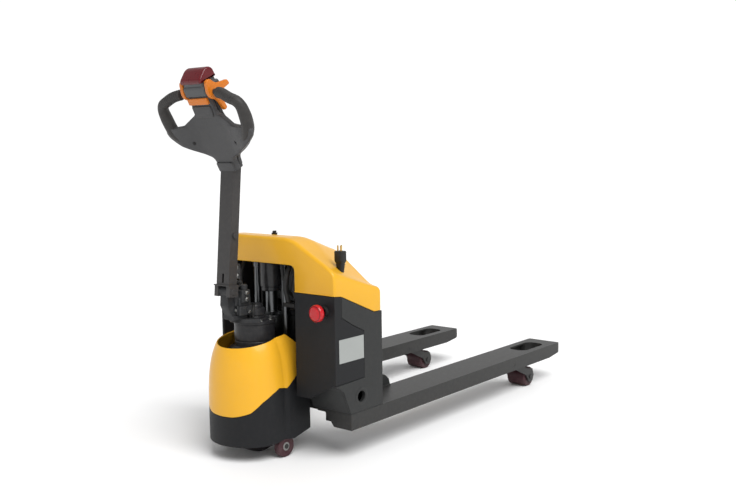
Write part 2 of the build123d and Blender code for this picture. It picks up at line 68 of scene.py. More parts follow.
class Side(Enum):
    """The truck's two sides; the value is the sign of Y."""

    RIGHT = -1
    LEFT = 1


# --- places ---------------------------------------------------------------------------------------
def place(points: Array) -> Array:
    """Turns millimetres measured from the load face into metres in the frame.

    Args:
        points: array whose last axis is x, y, z in millimetres.

    Returns:
        The same array in metres, with x moved to the frame's origin.
    """
    return (np.asarray(points, float) + (LOAD_FACE_X, 0.0, 0.0)) / 1000.0


def on_head(y: Array, v: Array, w: Array) -> Array:
    """Turns tiller-head coordinates (across, along, through) into millimetres.

    Formula: head origin + y * across + v * along + w * through, where along leans back by the
    head's tilt and through is square to it.

    Args:
        y: distance to the left of the middle.
        v: distance up the head from its neck.
        w: distance through the head, away from the operator.

    Returns:
        Array whose last axis is x, y, z.
    """
    y, v, w = np.broadcast_arrays(*(np.asarray(k, float) for k in (y, v, w)))
    sin, cos = math.sin(HEAD_TILT), math.cos(HEAD_TILT)
    return np.stack((HEAD_X - sin * v + cos * w, y, HEAD_Z + cos * v + sin * w), axis=-1)


def bowed(y: Array, v: Array, w: Array) -> Array:
    """Tiller-head coordinates with the wings swept towards the operator.

    Formula: k = smoothstep((|y| - 55) / 110); w falls by 22 k and y shrinks by 5 % of k.

    Args:
        y: distance to the left of the middle.
        v: distance up the head from its neck.
        w: distance through the head, away from the operator.

    Returns:
        Array whose last axis is x, y, z.
    """
    y, v, w = np.broadcast_arrays(*(np.asarray(k, float) for k in (y, v, w)))
    k = np.clip((np.abs(y) - WING_START) / WING_SPAN, 0.0, 1.0)
    k = k * k * (3.0 - 2.0 * k)
    return on_head(y * (1.0 - WING_NARROWING * k), v, w - WING_SWEEP * k)


def across_head(v: Array, w: Array, y: Array) -> Array:
    """Places an outline drawn in the head's v and w at the distance y from its middle."""
    return on_head(y, v, w)


def across_x(y: Array, z: Array, x: Array) -> Array:
    """Places an outline drawn in y and z at the distance x."""
    return np.stack(np.broadcast_arrays(x, y, z), axis=-1)


def across_y(x: Array, z: Array, y: Array) -> Array:
    """Places an outline drawn in x and z at the distance y."""
    return np.stack(np.broadcast_arrays(x, y, z), axis=-1)


def across_z(x: Array, y: Array, z: Array) -> Array:
    """Places an outline drawn in x and y at the height z."""
    return np.stack(np.broadcast_arrays(x, y, z), axis=-1)


# --- outlines -------------------------------------------------------------------------------------
def soft_outline(points: list | tuple, radius: float | list, arc: int = 6, closed: bool = True) -> Array:
    """Rounds the corners of a polygon.

    Formula: at each corner the two straight runs are cut back by t and joined by the quadratic
    Bezier curve whose middle control point is the corner.

    Args:
        points: corners in order.
        radius: cut-back length for all corners, or one for each.
        arc: number of spans in each rounded corner.
        closed: whether the last corner joins the first.

    Returns:
        Array of (corners * (arc + 1), 2) points.
    """
    p = np.asarray(points, float)
    cut = np.broadcast_to(np.asarray(radius, float), (len(p),))
    before, after = np.roll(p, 1, 0) - p, np.roll(p, -1, 0) - p
    length_b = np.maximum(np.linalg.norm(before, axis=1), 1e-9)
    length_a = np.maximum(np.linalg.norm(after, axis=1), 1e-9)
    t = np.minimum(cut, 0.49 * np.minimum(length_a, length_b))
    if not closed:
        t = t.copy()
        t[[0, -1]] = 0.0
    start = p + before / length_b[:, None] * t[:, None]
    end = p + after / length_a[:, None] * t[:, None]
    k = np.linspace(0.0, 1.0, arc + 1)[None, :, None]
    curve = start[:, None] * (1 - k) ** 2 + p[:, None] * 2 * k * (1 - k) + end[:, None] * k**2
    return curve.reshape(-1, p.shape[1])


def ring(radius_a: float, radius_b: float, count: int = 48, power: float = 2.0) -> Array:
    """A closed outline round the origin.

    Formula: the superellipse |a / radius_a|^power + |b / radius_b|^power = 1, anticlockwise.

    Args:
        radius_a: half width along the first axis.
        radius_b: half width along the second axis.
        count: number of points.
        power: 2 for an ellipse; higher is squarer.

    Returns:
        Array of (count, 2) points.
    """
    angle = np.linspace(0, 2 * np.pi, count, endpoint=False)
    cos, sin = np.cos(angle), np.sin(angle)
    return np.stack((radius_a * np.sign(cos) * np.abs(cos) ** (2 / power),
                     radius_b * np.sign(sin) * np.abs(sin) ** (2 / power)), axis=-1)


def inset(outline: Array, amount: float) -> Array:
    """Moves a closed outline inwards.

    Formula: each point moves along the normal of the chord between its two neighbours, turned
    inwards by the sign of the outline's area.

    Args:
        outline: closed outline, (n, 2).
        amount: distance to move.

    Returns:
        The smaller outline.
    """
    step = np.roll(outline, -1, 0) - np.roll(outline, 1, 0)
    normal = np.stack((-step[:, 1], step[:, 0]), axis=-1)
    normal /= np.maximum(np.linalg.norm(normal, axis=1, keepdims=True), 1e-9)
    area = np.sum(outline[:, 0] * np.roll(outline[:, 1], -1) - np.roll(outline[:, 0], -1) * outline[:, 1])
    return outline + normal * amount * np.sign(area)


# --- meshes ---------------------------------------------------------------------------------------
def piece(name: str, vertices: Array, faces: list, body: str, angle: float = 35.0) -> bpy.types.Object:
    """Makes an object from arrays, links it and lets it ride on a body.

    Args:
        name: object name.
        vertices: (n, 3) array in millimetres from the load face.
        faces: vertex indices of each face.
        body: name of the CAD body that it moves with.
        angle: edges sharper than this many degrees stay sharp.

    Returns:
        The new object.
    """
    mesh = bpy.data.meshes.new(name)
    mesh.from_pydata(place(vertices).reshape(-1, 3), [], faces)
    mesh.validate()
    tidy = bmesh.new()
    tidy.from_mesh(mesh)
    bmesh.ops.remove_doubles(tidy, verts=tidy.verts, dist=MERGE_M)
    bmesh.ops.dissolve_degenerate(tidy, edges=tidy.edges, dist=MERGE_M / 2)
    bmesh.ops.recalc_face_normals(tidy, faces=tidy.faces)
    tidy.to_mesh(mesh)
    tidy.free()
    mesh.shade_smooth()
    mesh.set_sharp_from_angle(angle=math.radians(angle))
    shown = bpy.data.objects.new(name, mesh)
    bpy.context.scene.collection.objects.link(shown)
    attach(shown, body)
    LOG.info("%s rides on %s", name, body)
    return shown


def grid_faces(rows: int, columns: int, wrap: bool) -> list:
    """Quads between neighbouring rows and columns of a grid of points.

    Args:
        rows: number of rows.
        columns: number of columns.
        wrap: whether the last column joins the first.

    Returns:
        Vertex indices of each quad.
    """
    across = columns if wrap else columns - 1
    r, c = np.meshgrid(np.arange(rows - 1), np.arange(across), indexing="ij")
    following = (c + 1) % columns
    quads = np.stack((r * columns + c, r * columns + following, (r + 1) * columns + following,
                      (r + 1) * columns + c), axis=-1)
    return quads.reshape(-1, 4).tolist()


def skin(rows: Array, wrap: bool = True, caps: tuple[bool, bool] = (True, True)) -> Surface:
    """A surface over a grid of points: row i, column j, closed round each row if wrapped.

    Args:
        rows: (rows, columns, 3) array.
        wrap: whether each row is a closed ring.
        caps: whether the first and last rows are filled with a face.

    Returns:
        Vertices and faces.
    """
    count, columns = rows.shape[:2]
    faces = grid_faces(count, columns, wrap)
    if caps[0]:
        faces.append(list(range(columns))[::-1])
    if caps[1]:
        faces.append([(count - 1) * columns + k for k in range(columns)])
    return rows.reshape(-1, 3), faces


def joined(parts: list) -> Surface:
    """Puts several (vertices, faces) surfaces into one mesh.

    Args:
        parts: the surfaces.

    Returns:
        Vertices and faces of all of them.
    """
    vertices, faces, start = [], [], 0
    for points, quads in parts:
        vertices.append(points)
        faces += [[start + k for k in face] for face in quads]
        start += len(points)
    return np.concatenate(vertices), faces


def slab(outline: Array, low: float, high: float, edge: float, placing: Placing, steps: int = 3) -> Surface:
    """A plate with rounded rims.

    Formula: the outline is carried from low to high; near each end it is inset by
    edge * (1 - cos a) while it moves by edge * sin a, for a from 0 to 90 degrees.

    Args:
        outline: closed 2-D outline.
        low: first level.
        high: last level.
        edge: rim radius.
        placing: function of the outline's two coordinates and the level that gives millimetres.
        steps: spans in each rim.

    Returns:
        Vertices and faces.
    """
    a = np.linspace(0, np.pi / 2, steps + 1)
    levels = np.concatenate((low + edge * (1 - np.sin(a[::-1])), high - edge * (1 - np.sin(a))))
    insets = np.concatenate((edge * (1 - np.cos(a[::-1])), edge * (1 - np.cos(a))))
    rings = np.stack([inset(outline, k) for k in insets])
    return skin(placing(rings[..., 0], rings[..., 1], levels[:, None]))


def turned(profile: Array | tuple, centre: tuple, axis: str, count: int = 64) -> Surface:
    """A lathe surface: each (radius, height) of the profile swept through a full circle.

    Args:
        profile: (n, 2) radii and heights along the axis, from one end to the other. A radius of
            CORE at an end closes it.
        centre: x, y, z of height 0 in millimetres.
        axis: "x", "y" or "z".
        count: points round the circle.

    Returns:
        Vertices and faces.
    """
    profile = np.asarray(profile, float)
    angle = np.linspace(0, 2 * np.pi, count, endpoint=False)
    radius, height = profile[:, 0][:, None], profile[:, 1][:, None] + 0 * angle
    a, b = radius * np.cos(angle), radius * np.sin(angle)
    order = {"x": (height, a, b), "y": (b, height, a), "z": (a, b, height)}[axis]
    return skin(np.stack(order, axis=-1) + np.asarray(centre, float))


def bored(surface: Surface) -> Surface:
    """The same lathe surface without its two end faces, so that its bore stays open."""
    vertices, faces = surface
    return vertices, faces[:-2]


def tube(route: Array, radius: float | Array, count: int = 16) -> Surface:
    """A round section carried along a route, closed at both ends.

    Formula: at each route point the section lies in the plane square to the local direction; its
    first axis is the fixed reference direction with the part along the route removed.

    Args:
        route: (n, 3) points.
        radius: radius, or one for each point.
        count: points round the section.

    Returns:
        Vertices and faces.
    """
    moved = np.linalg.norm(np.diff(route, axis=0, prepend=route[:1] - 1.0), axis=1) > 1e-6
    size = np.broadcast_to(np.asarray(radius, float), (len(route),))[moved][:, None, None]
    route = route[moved]
    along = np.gradient(route, axis=0)
    along /= np.linalg.norm(along, axis=1, keepdims=True)
    mean = np.abs(along).mean(axis=0)
    reference = np.eye(3)[int(np.argmin(mean))]
    first = reference - along * (along @ reference)[:, None]
    first /= np.linalg.norm(first, axis=1, keepdims=True)
    second = np.cross(along, first)
    unit = ring(1.0, 1.0, count)
    around = unit[None, :, :1] * first[:, None] + unit[None, :, 1:] * second[:, None]
    return skin(route[:, None] + size * around)


def cables(runs: tuple | list, radii: tuple, bend: float, arc: int = 8, count: int = 12) -> Surface:
    """Several cables or hoses in one mesh.

    Args:
        runs: the corner points of each route.
        radii: radius of each.
        bend: how far each corner is cut back to round it.
        arc: spans in each rounded corner.
        count: points round each.

    Returns:
        Vertices and faces.
    """
    return joined([tube(soft_outline(run, bend, arc, closed=False), radius, count)
                   for run, radius in zip(runs, radii)])


def softened(node: str, width: float, segments: int = 2, angle: float = 30.0) -> bpy.types.Object:
    """A CAD node with eased edges, shown in the node's place.

    Args:
        node: CAD node name.
        width: bevel width in millimetres.
        segments: spans in the bevel.
        angle: edges sharper than this many degrees are eased.

    Returns:
        The new object, which replaces the node.
    """
    mesh = frame["nodes"][node].data.copy()
    mesh.name = node + "_eased"
    work = bmesh.new()
    work.from_mesh(mesh)
    bmesh.ops.remove_doubles(work, verts=work.verts, dist=MERGE_M)
    bmesh.ops.dissolve_limit(work, angle_limit=math.radians(1.0), verts=work.verts, edges=work.edges)
    work.to_mesh(mesh)
    work.free()
    mesh.shade_smooth()
    mesh.set_sharp_from_angle(angle=math.radians(angle))
    shown = bpy.data.objects.new(node + "_eased", mesh)
    bpy.context.scene.collection.objects.link(shown)
    ease = shown.modifiers.new("eased_edges", "BEVEL")
    ease.width, ease.segments = width / 1000.0, segments
    ease.limit_method, ease.angle_limit = "ANGLE", math.radians(angle)
    ease.harden_normals = False
    bodies = frame["record"]["behaviour"]["bodies"]
    body = next(name for name, nodes in bodies.items() if node in nodes)
    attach(shown, body)
    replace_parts(shown, node)
    LOG.info("%s rides on %s", shown.name, body)
    return shown


# --- finishes -------------------------------------------------------------------------------------
class Grain(Enum):
    """Kinds of surface relief, as (cells per metre, relief in metres)."""

    SMOOTH = (420.0, 0.00004)
    ORANGE_PEEL = (520.0, 0.00012)
    LEATHERED = (1100.0, 0.00030)
    CAST = (260.0, 0.00070)
    BRUSHED = (900.0, 0.00010)
    SCUFFED = (150.0, 0.00030)


@dataclass(frozen=True)
class Finish:
    """A painted, moulded or metal surface.

    Attributes:
        name: material name.
        colour: linear base colour.
        roughness: mean roughness.
        metallic: 0 or 1.
        coat: weight of the clear coat.
        specular: level of the surface's own reflection.
        grain: relief of the surface.
        variation: strength of the slow colour change over the surface.
        dust: strength of the pale dust that gathers on it.
        dust_colour: colour of that dust.
    """

    name: str
    colour: tuple[float, float, float]
    roughness: float = 0.45
    metallic: float = 0.0
    coat: float = 0.0
    specular: float = 0.25
    grain: Grain = Grain.SMOOTH
    variation: float = 0.10
    dust: float = 0.06
    dust_colour: tuple[float, float, float] = (0.30, 0.28, 0.25)

    def material(self) -> bpy.types.Material:
        """Builds the node material, or finds it if it has been built.

        Returns:
            The material: base colour from slow noise and dust, roughness from finer noise, and relief.
        """
        title = self.name + "_finish"
        made = bpy.data.materials.get(title)
        if made:
            return made
        made = bpy.data.materials.new(title)
        made.use_nodes = True
        made.diffuse_color = (*self.colour, 1.0)
        nodes, links = made.node_tree.nodes, made.node_tree.links
        shader = nodes["Principled BSDF"]
        shader.inputs["Metallic"].default_value = self.metallic
        shader.inputs["Coat Weight"].default_value = self.coat
        shader.inputs["Coat Roughness"].default_value = 0.12
        shader.inputs["Specular IOR Level"].default_value = self.specular
        where = nodes.new("ShaderNodeTexCoord")
        slow = self._noise(made, where, 9.0, 3.0)
        middle = self._noise(made, where, 70.0, 4.0)
        tone = nodes.new("ShaderNodeMix")
        tone.data_type = "RGBA"
        tone.inputs["A"].default_value = (*(c * (1 - self.variation) for c in self.colour), 1.0)
        tone.inputs["B"].default_value = (*(min(1.0, c * (1 + self.variation)) for c in self.colour), 1.0)
        links.new(slow.outputs["Fac"], tone.inputs["Factor"])
        grime = nodes.new("ShaderNodeMix")
        grime.data_type = "RGBA"
        grime.inputs["B"].default_value = (*self.dust_colour, 1.0)
        amount = nodes.new("ShaderNodeMapRange")
        amount.inputs["From Min"].default_value = 0.42
        amount.inputs["From Max"].default_value = 0.85
        amount.inputs["To Max"].default_value = self.dust
        links.new(middle.outputs["Fac"], amount.inputs["Value"])
        links.new(amount.outputs["Result"], grime.inputs["Factor"])
        links.new(tone.outputs["Result"], grime.inputs["A"])
        links.new(grime.outputs["Result"], shader.inputs["Base Color"])
        rough = nodes.new("ShaderNodeMapRange")
        rough.inputs["To Min"].default_value = max(0.03, self.roughness - 0.07)
        rough.inputs["To Max"].default_value = min(1.0, self.roughness + 0.09)
        links.new(middle.outputs["Fac"], rough.inputs["Value"])
        links.new(rough.outputs["Result"], shader.inputs["Roughness"])
        self._relief(made, where, shader)
        return made

    def _noise(self, made: bpy.types.Material, where: bpy.types.Node, scale: float,
               detail: float) -> bpy.types.Node:
        """Adds a noise texture on object coordinates.

        Args:
            made: the material.
            where: its texture coordinate node.
            scale: cells per metre.
            detail: number of finer layers.

        Returns:
            The noise node.
        """
        noise = made.node_tree.nodes.new("ShaderNodeTexNoise")
        noise.inputs["Scale"].default_value = scale
        noise.inputs["Detail"].default_value = detail
        made.node_tree.links.new(where.outputs["Object"], noise.inputs["Vector"])
        return noise

    def _relief(self, made: bpy.types.Material, where: bpy.types.Node, shader: bpy.types.Node) -> None:
        """Adds the bump that the grain asks for.

        Args:
            made: the material.
            where: its texture coordinate node.
            shader: the node that takes the bump.
        """
        nodes, links = made.node_tree.nodes, made.node_tree.links
        cells, height = self.grain.value
        if self.grain is Grain.LEATHERED:
            source = nodes.new("ShaderNodeTexVoronoi")
            source.inputs["Scale"].default_value = cells
            links.new(where.outputs["Object"], source.inputs["Vector"])
            out = source.outputs["Distance"]
        elif self.grain is Grain.BRUSHED:
            stretch = nodes.new("ShaderNodeMapping")
            stretch.inputs["Scale"].default_value = (1.0, 1.0, 0.06)
            links.new(where.outputs["Object"], stretch.inputs["Vector"])
            source = nodes.new("ShaderNodeTexNoise")
            source.inputs["Scale"].default_value = cells
            links.new(stretch.outputs["Vector"], source.inputs["Vector"])
            out = source.outputs["Fac"]
        else:
            out = self._noise(made, where, cells, 2.0).outputs["Fac"]
        bump = nodes.new("ShaderNodeBump")
        bump.inputs["Distance"].default_value = height
        bump.inputs["Strength"].default_value = 0.6
        links.new(out, bump.inputs["Height"])
        links.new(bump.outputs["Normal"], shader.inputs["Normal"])


@dataclass(frozen=True)
class Finishes:
    """Every finish of the truck, by the record's material slot; zinc and floor are only used here."""

    fork_paint: Finish = Finish("charcoal_fork_paint", (0.022, 0.022, 0.0215), 0.42, grain=Grain.ORANGE_PEEL,
                                coat=0.05, dust=0.05)
    body_paint: Finish = Finish("charcoal_body_paint", (0.019, 0.020, 0.020), 0.45, grain=Grain.ORANGE_PEEL,
                                coat=0.04, dust=0.03)
    hood_yellow: Finish = Finish("hood_yellow", (0.74, 0.385, 0.020), 0.36, coat=0.15, variation=0.04,
                                 dust=0.02)
    cover_yellow: Finish = Finish("cover_yellow", (0.77, 0.395, 0.020), 0.36, coat=0.15, variation=0.04,
                                  dust=0.03)
    cover_black: Finish = Finish("grained_black_cover", (0.012, 0.0125, 0.014), 0.52, specular=0.18,
                                 grain=Grain.LEATHERED, dust=0.015)
    label: Finish = Finish("blank_foil_label", (0.32, 0.335, 0.325), 0.46, variation=0.06)
    red_plastic: Finish = Finish("stop_red", (0.48, 0.006, 0.012), 0.30, coat=0.4, variation=0.05, dust=0.01)
    belly_red: Finish = Finish("belly_red", (0.11, 0.005, 0.009), 0.28, coat=0.25, variation=0.10, dust=0.02)
    amber: Finish = Finish("amber_paddle", (0.60, 0.165, 0.010), 0.34, coat=0.2, variation=0.10, dust=0.02)
    head_grey: Finish = Finish("head_grey", (0.058, 0.058, 0.060), 0.48, grain=Grain.LEATHERED, dust=0.04)
    box_grey: Finish = Finish("box_grey", (0.080, 0.084, 0.088), 0.44, grain=Grain.LEATHERED, dust=0.03)
    grip_rubber: Finish = Finish("grip_rubber", (0.036, 0.034, 0.033), 0.46, grain=Grain.LEATHERED, dust=0.04)
    arm_steel: Finish = Finish("arm_black_coat", (0.042, 0.040, 0.040), 0.44, grain=Grain.ORANGE_PEEL,
                               dust=0.05)
    tyre_pu: Finish = Finish("maroon_polyurethane", (0.050, 0.018, 0.023), 0.44, variation=0.2, dust=0.08)
    drive_pu: Finish = Finish("black_polyurethane", (0.022, 0.020, 0.022), 0.48, dust=0.10)
    steel: Finish = Finish("machined_steel", (0.40, 0.40, 0.40), 0.34, 1.0, grain=Grain.BRUSHED)
    cast: Finish = Finish("painted_casting", (0.024, 0.025, 0.027), 0.55, grain=Grain.CAST)
    motor: Finish = Finish("motor_enamel", (0.018, 0.018, 0.020), 0.40, coat=0.1, grain=Grain.ORANGE_PEEL)
    alu: Finish = Finish("cast_aluminium", (0.16, 0.165, 0.17), 0.50, 1.0, grain=Grain.CAST)
    cylinder: Finish = Finish("cylinder_enamel", (0.014, 0.014, 0.016), 0.30, coat=0.3,
                              grain=Grain.ORANGE_PEEL)
    rod_steel: Finish = Finish("blackened_rod", (0.13, 0.135, 0.14), 0.30, 1.0, grain=Grain.BRUSHED)
    battery: Finish = Finish("battery_case", (0.030, 0.033, 0.038), 0.50, grain=Grain.LEATHERED)
    pump: Finish = Finish("pump_enamel", (0.022, 0.023, 0.026), 0.42, grain=Grain.ORANGE_PEEL)
    plug_black: Finish = Finish("moulded_black", (0.014, 0.014, 0.014), 0.42, grain=Grain.LEATHERED)
    brass: Finish = Finish("plug_brass", (0.66, 0.46, 0.18), 0.30, 1.0, grain=Grain.BRUSHED)
    cable: Finish = Finish("cable_sheath", (0.014, 0.014, 0.014), 0.40)
    horn_grey: Finish = Finish("horn_grey", (0.18, 0.18, 0.19), 0.32, coat=0.2)
    zinc: Finish = Finish("zinc_bolt", (0.30, 0.30, 0.29), 0.38, 1.0, grain=Grain.SCUFFED)
    floor: Finish = Finish("pale_floor", (0.95, 0.95, 0.95), 0.85, specular=0.0, variation=0.004, dust=0.0)


FINISH = Finishes()


def dress(shown: bpy.types.Object, slot: str, finish: Finish | None = None) -> bpy.types.Object:
    """Gives a piece the finish that its record slot names, or another finish in its place.

    Args:
        shown: the piece.
        slot: material slot in the record.
        finish: another finish than the slot's own.

    Returns:
        The same piece.
    """
    shown.data.materials.clear()
    shown.data.materials.append((finish or getattr(FINISH, slot)).material())
    return shown


def paint_nodes() -> None:
    """Gives every CAD node the finish of its record slot."""
    for name, node in frame["nodes"].items():
        finish = getattr(FINISH, SLOTS[name]).material()
        for slot in node.material_slots:
            slot.material = finish
        if not node.material_slots:
            node.data.materials.append(finish)


# --- studio ---------------------------------------------------------------------------------------
@dataclass
class Studio:
    """Pale floor, soft lights and the camera.

    Attributes:
        eye: place of the camera, in millimetres from the load face.
        yaw: direction of view, in degrees from X.
        pitch: how far the view looks down, in degrees.
        roll: how far the camera leans, in degrees.
        sensor: width of the sensor in millimetres.
        lens: focal length in millimetres.
        shift: sideways and upward shift, as parts of the sensor's width.
        floor_half: half width of the floor in metres.
        floor_lines: points along each side of the floor.
    """

    eye: tuple[float, float, float] = (-2258.0, -2234.0, 985.0)
    yaw: float = 37.57
    pitch: float = 5.84
    roll: float = -0.5
    sensor: float = 36.0
    lens: float = 44.65272
    shift: tuple[float, float] = (-0.0690217, -0.0016304)
    floor_half: float = 40.0
    floor_lines: int = 9

    def build(self) -> None:
        """Makes the floor, lights and camera."""
        self._floor()
        self._world()
        self._sun("key", (0.22, 0.72, -1.0), 2.75, 42.0)
        self._sun("rim", (-0.5, -0.35, -0.8), 0.35, 60.0)
        self._camera()

    def _floor(self) -> None:
        """A wide flat sheet: z = 0 at every point of a square grid."""
        line = np.linspace(-self.floor_half, self.floor_half, self.floor_lines)
        x, y = np.meshgrid(line, line)
        points = np.stack((x, y, np.zeros_like(x)), axis=-1).reshape(-1, 3)
        mesh = bpy.data.meshes.new("floor")
        mesh.from_pydata(points, [], grid_faces(self.floor_lines, self.floor_lines, False))
        ground = bpy.data.objects.new("floor", mesh)
        bpy.context.scene.collection.objects.link(ground)
        mesh.materials.append(FINISH.floor.material())

    def _world(self) -> None:
        """White near the horizon and a dimmer white above it, by the height of each direction."""
        world = bpy.data.worlds.new("surroundings")
        world.use_nodes = True
        nodes, links = world.node_tree.nodes, world.node_tree.links
        where, split = nodes.new("ShaderNodeTexCoord"), nodes.new("ShaderNodeSeparateXYZ")
        level = nodes.new("ShaderNodeMapRange")
        level.inputs["From Min"].default_value = 0.19
        level.inputs["From Max"].default_value = 0.34
        level.inputs["To Min"].default_value = 1.05
        level.inputs["To Max"].default_value = 0.36
        links.new(where.outputs["Generated"], split.inputs["Vector"])
        links.new(split.outputs["Z"], level.inputs["Value"])
        links.new(level.outputs["Result"], nodes["Background"].inputs["Strength"])
        nodes["Background"].inputs["Color"].default_value = (1.0, 1.0, 1.0, 1.0)
        bpy.context.scene.world = world
        bpy.context.scene.view_settings.view_transform = "Standard"

    def _sun(self, name: str, towards: tuple, strength: float, spread: float) -> None:
        """A wide, soft sun.

        Args:
            name: name of the lamp.
            towards: direction in which it shines.
            strength: its irradiance.
            spread: its angular size in degrees.
        """
        data = bpy.data.lights.new(name, "SUN")
        data.energy, data.angle = strength, math.radians(spread)
        lamp = bpy.data.objects.new(name, data)
        lamp.matrix_world = Vector(towards).to_track_quat("-Z", "Y").to_matrix().to_4x4()
        bpy.context.scene.collection.objects.link(lamp)

    def _camera(self) -> None:
        """Camera at its eye, turned by yaw, pitch and roll, with its lens and shift."""
        yaw, pitch, roll = (math.radians(k) for k in (self.yaw, self.pitch, self.roll))
        forward = Vector((math.cos(yaw) * math.cos(pitch), math.sin(yaw) * math.cos(pitch), -math.sin(pitch)))
        right = Vector((math.sin(yaw), -math.cos(yaw), 0.0))
        up = right.cross(forward)
        across = right * math.cos(roll) + up * math.sin(roll)
        above = up * math.cos(roll) - right * math.sin(roll)
        turn = Matrix((across, above, -forward)).transposed().to_4x4()
        data = bpy.data.cameras.new("camera")
        data.sensor_width, data.lens = self.sensor, self.lens
        data.shift_x, data.shift_y = self.shift
        camera = bpy.data.objects.new("camera", data)
        camera.matrix_world = Matrix.Translation(Vector(place(np.array(self.eye)))) @ turn
        bpy.context.scene.collection.objects.link(camera)
        bpy.context.scene.camera = camera


# --- sub-assemblies -------------------------------------------------------------------------------
def edged(shown: bpy.types.Object, wall: float = 0.0, ease: float = 0.0) -> bpy.types.Object:
    """Thickens a surface inwards and eases its sharp edges.

    Args:
        shown: the piece.
        wall: thickness in millimetres, or 0 to leave it as it is.
        ease: bevel width in millimetres, or 0 for none.

    Returns:
        The same piece.
    """
    if wall:
        thick = shown.modifiers.new("wall", "SOLIDIFY")
        thick.thickness, thick.offset = wall / 1000.0, -1.0
    if ease:
        soft = shown.modifiers.new("eased_edges", "BEVEL")
        soft.width, soft.segments = ease / 1000.0, 2
        soft.limit_method, soft.angle_limit = "ANGLE", math.radians(40.0)
    return shown


def lined_outward(shown: bpy.types.Object, centre: tuple) -> bpy.types.Object:
    """Turns the faces of an open shell so that most of them face away from a point.

    Args:
        shown: the shell.
        centre: a point inside it, in millimetres from the load face.

    Returns:
        The same shell.
    """
    middle = Vector(place(np.array(centre)))
    outward = sum((face.center - middle).dot(face.normal) * face.area for face in shown.data.polygons)
    if outward < 0:
        shown.data.flip_normals()
    return shown


def bolt(centre: tuple, axis: str, radius: float, height: float = 5.0, way: float = 1.0) -> Surface:
    """A washer, a hexagon head and its rounded crown, standing on centre and facing along axis.

    Args:
        centre: middle of the washer's seat.
        axis: "x", "y" or "z".
        radius: radius across the hexagon's corners.
        height: height of the head.
        way: 1 or -1, the sense in which the head stands up along the axis.

    Returns:
        Vertices and faces.
    """
    washer = np.array([(CORE, 0), (radius * 1.3, 0), (radius * 1.3, 1.2), (radius * 1.25, 1.6), (CORE, 1.6)])
    crown = radius * 0.86
    head = np.array([(CORE, 1.6), (radius, 1.6), (radius, height - 1), (crown, height), (CORE, height)])
    parts = [turned(shape * (1, way), centre, axis, count) for shape, count in ((washer, 28), (head, 6))]
    return joined(parts)


@dataclass
class Steelwork:
    """CAD parts that keep their shape and get eased edges, with the fittings on them.

    Attributes:
        widths: bevel of each node in millimetres.
        side_y: half width over the side plates.
        weld_y: distance of each fork's weld from the middle.
        weld_z: height of the welds.
        collar_x: place of the tie-down collar on each side.
        collar_z: height of the collars.
        collar: radii and depths of a collar's section, outwards from the plate.
        rivet_x: places of the label's rivets along the plate.
        rivet_z: heights of the label's rivets.
    """

    widths: dict[str, float] = field(default_factory=lambda: {
        "fork_right": 5.0, "fork_left": 5.0, "side_plate_right": 1.5, "side_plate_left": 1.5,
        "heel_right": 1.5, "heel_left": 1.5, "rear_plate": 1.5, "cross_member": 3.0, "cylinder_mast": 2.0,
        "cheek_right": 2.0, "cheek_left": 1.5, "base_plate": 2.0, "castor_frame": 2.0, "gearbox": 3.0,
        "tiller_base": 2.5, "arm_foot": 2.0, "tiller_arm": 3.5, "roller_lever_right": 1.2,
        "roller_lever_left": 1.2, "pull_rod_right": 1.5, "pull_rod_left": 1.5, "battery": 4.0,
        "charger": 4.0, "controller": 3.0, "lift_ram": 1.5, "rating_plate": 0.2, "key_base": 0.8,
        "key_knob": 0.6, "spring_bolt": 0.8, "tiller_pin": 1.2, "horn_button": 1.0})
    side_y: float = 342.5
    weld_y: float = 204.6
    weld_z: float = 156.0
    collar_x: dict[Side, float] = field(default_factory=lambda: {Side.RIGHT: -107.0, Side.LEFT: -34.0})
    collar_z: float = 204.0
    collar: tuple = ((18.3, 1.0), (18.3, -0.3), (19.5, -0.5), (28.5, -0.5), (30.0, -0.1), (30.0, 1.0))
    rivet_x: tuple[float, float] = (-204.0, -96.5)
    rivet_z: tuple[float, float] = (331.0, 398.0)

    def build(self) -> None:
        """Eases each part and dresses it in its own slot."""
        for node, width in self.widths.items():
            dress(softened(node, width), SLOTS[node])

    def details(self) -> None:
        """Weld beads, tie-down collars and the label's rivets.

        Formula: a weld's radius is 2.6 + 0.5 sin(1.3 x), so the bead looks scaled.
        """
        for side in Side:
            x = np.linspace(6, 204, 100)
            line = np.stack((x, 0 * x + side.value * self.weld_y, 0 * x + self.weld_z), axis=-1)
            bead = tube(line, 2.6 + 0.5 * np.sin(x * 1.3), 10)
            dress(piece(f"weld_{side.name.lower()}", *bead, "chassis", 60), "fork_paint")
        for side in Side:
            at = (self.collar_x[side], side.value * self.side_y, self.collar_z)
            collar = bored(turned(np.array(self.collar) * (1, -side.value), at, "y", 48))
            dress(piece(f"tie_down_collar_{side.name.lower()}", *collar, "chassis"), "body_paint")
        rivets = [turned([(0.2, 0.0), (2.6, 0.0), (2.4, -0.5), (0.2, -0.6)], (x, -self.side_y, z), "y", 16)
                  for x in self.rivet_x for z in self.rivet_z]
        dress(piece("label_rivets", *joined(rivets), "chassis"), "label", FINISH.zinc)


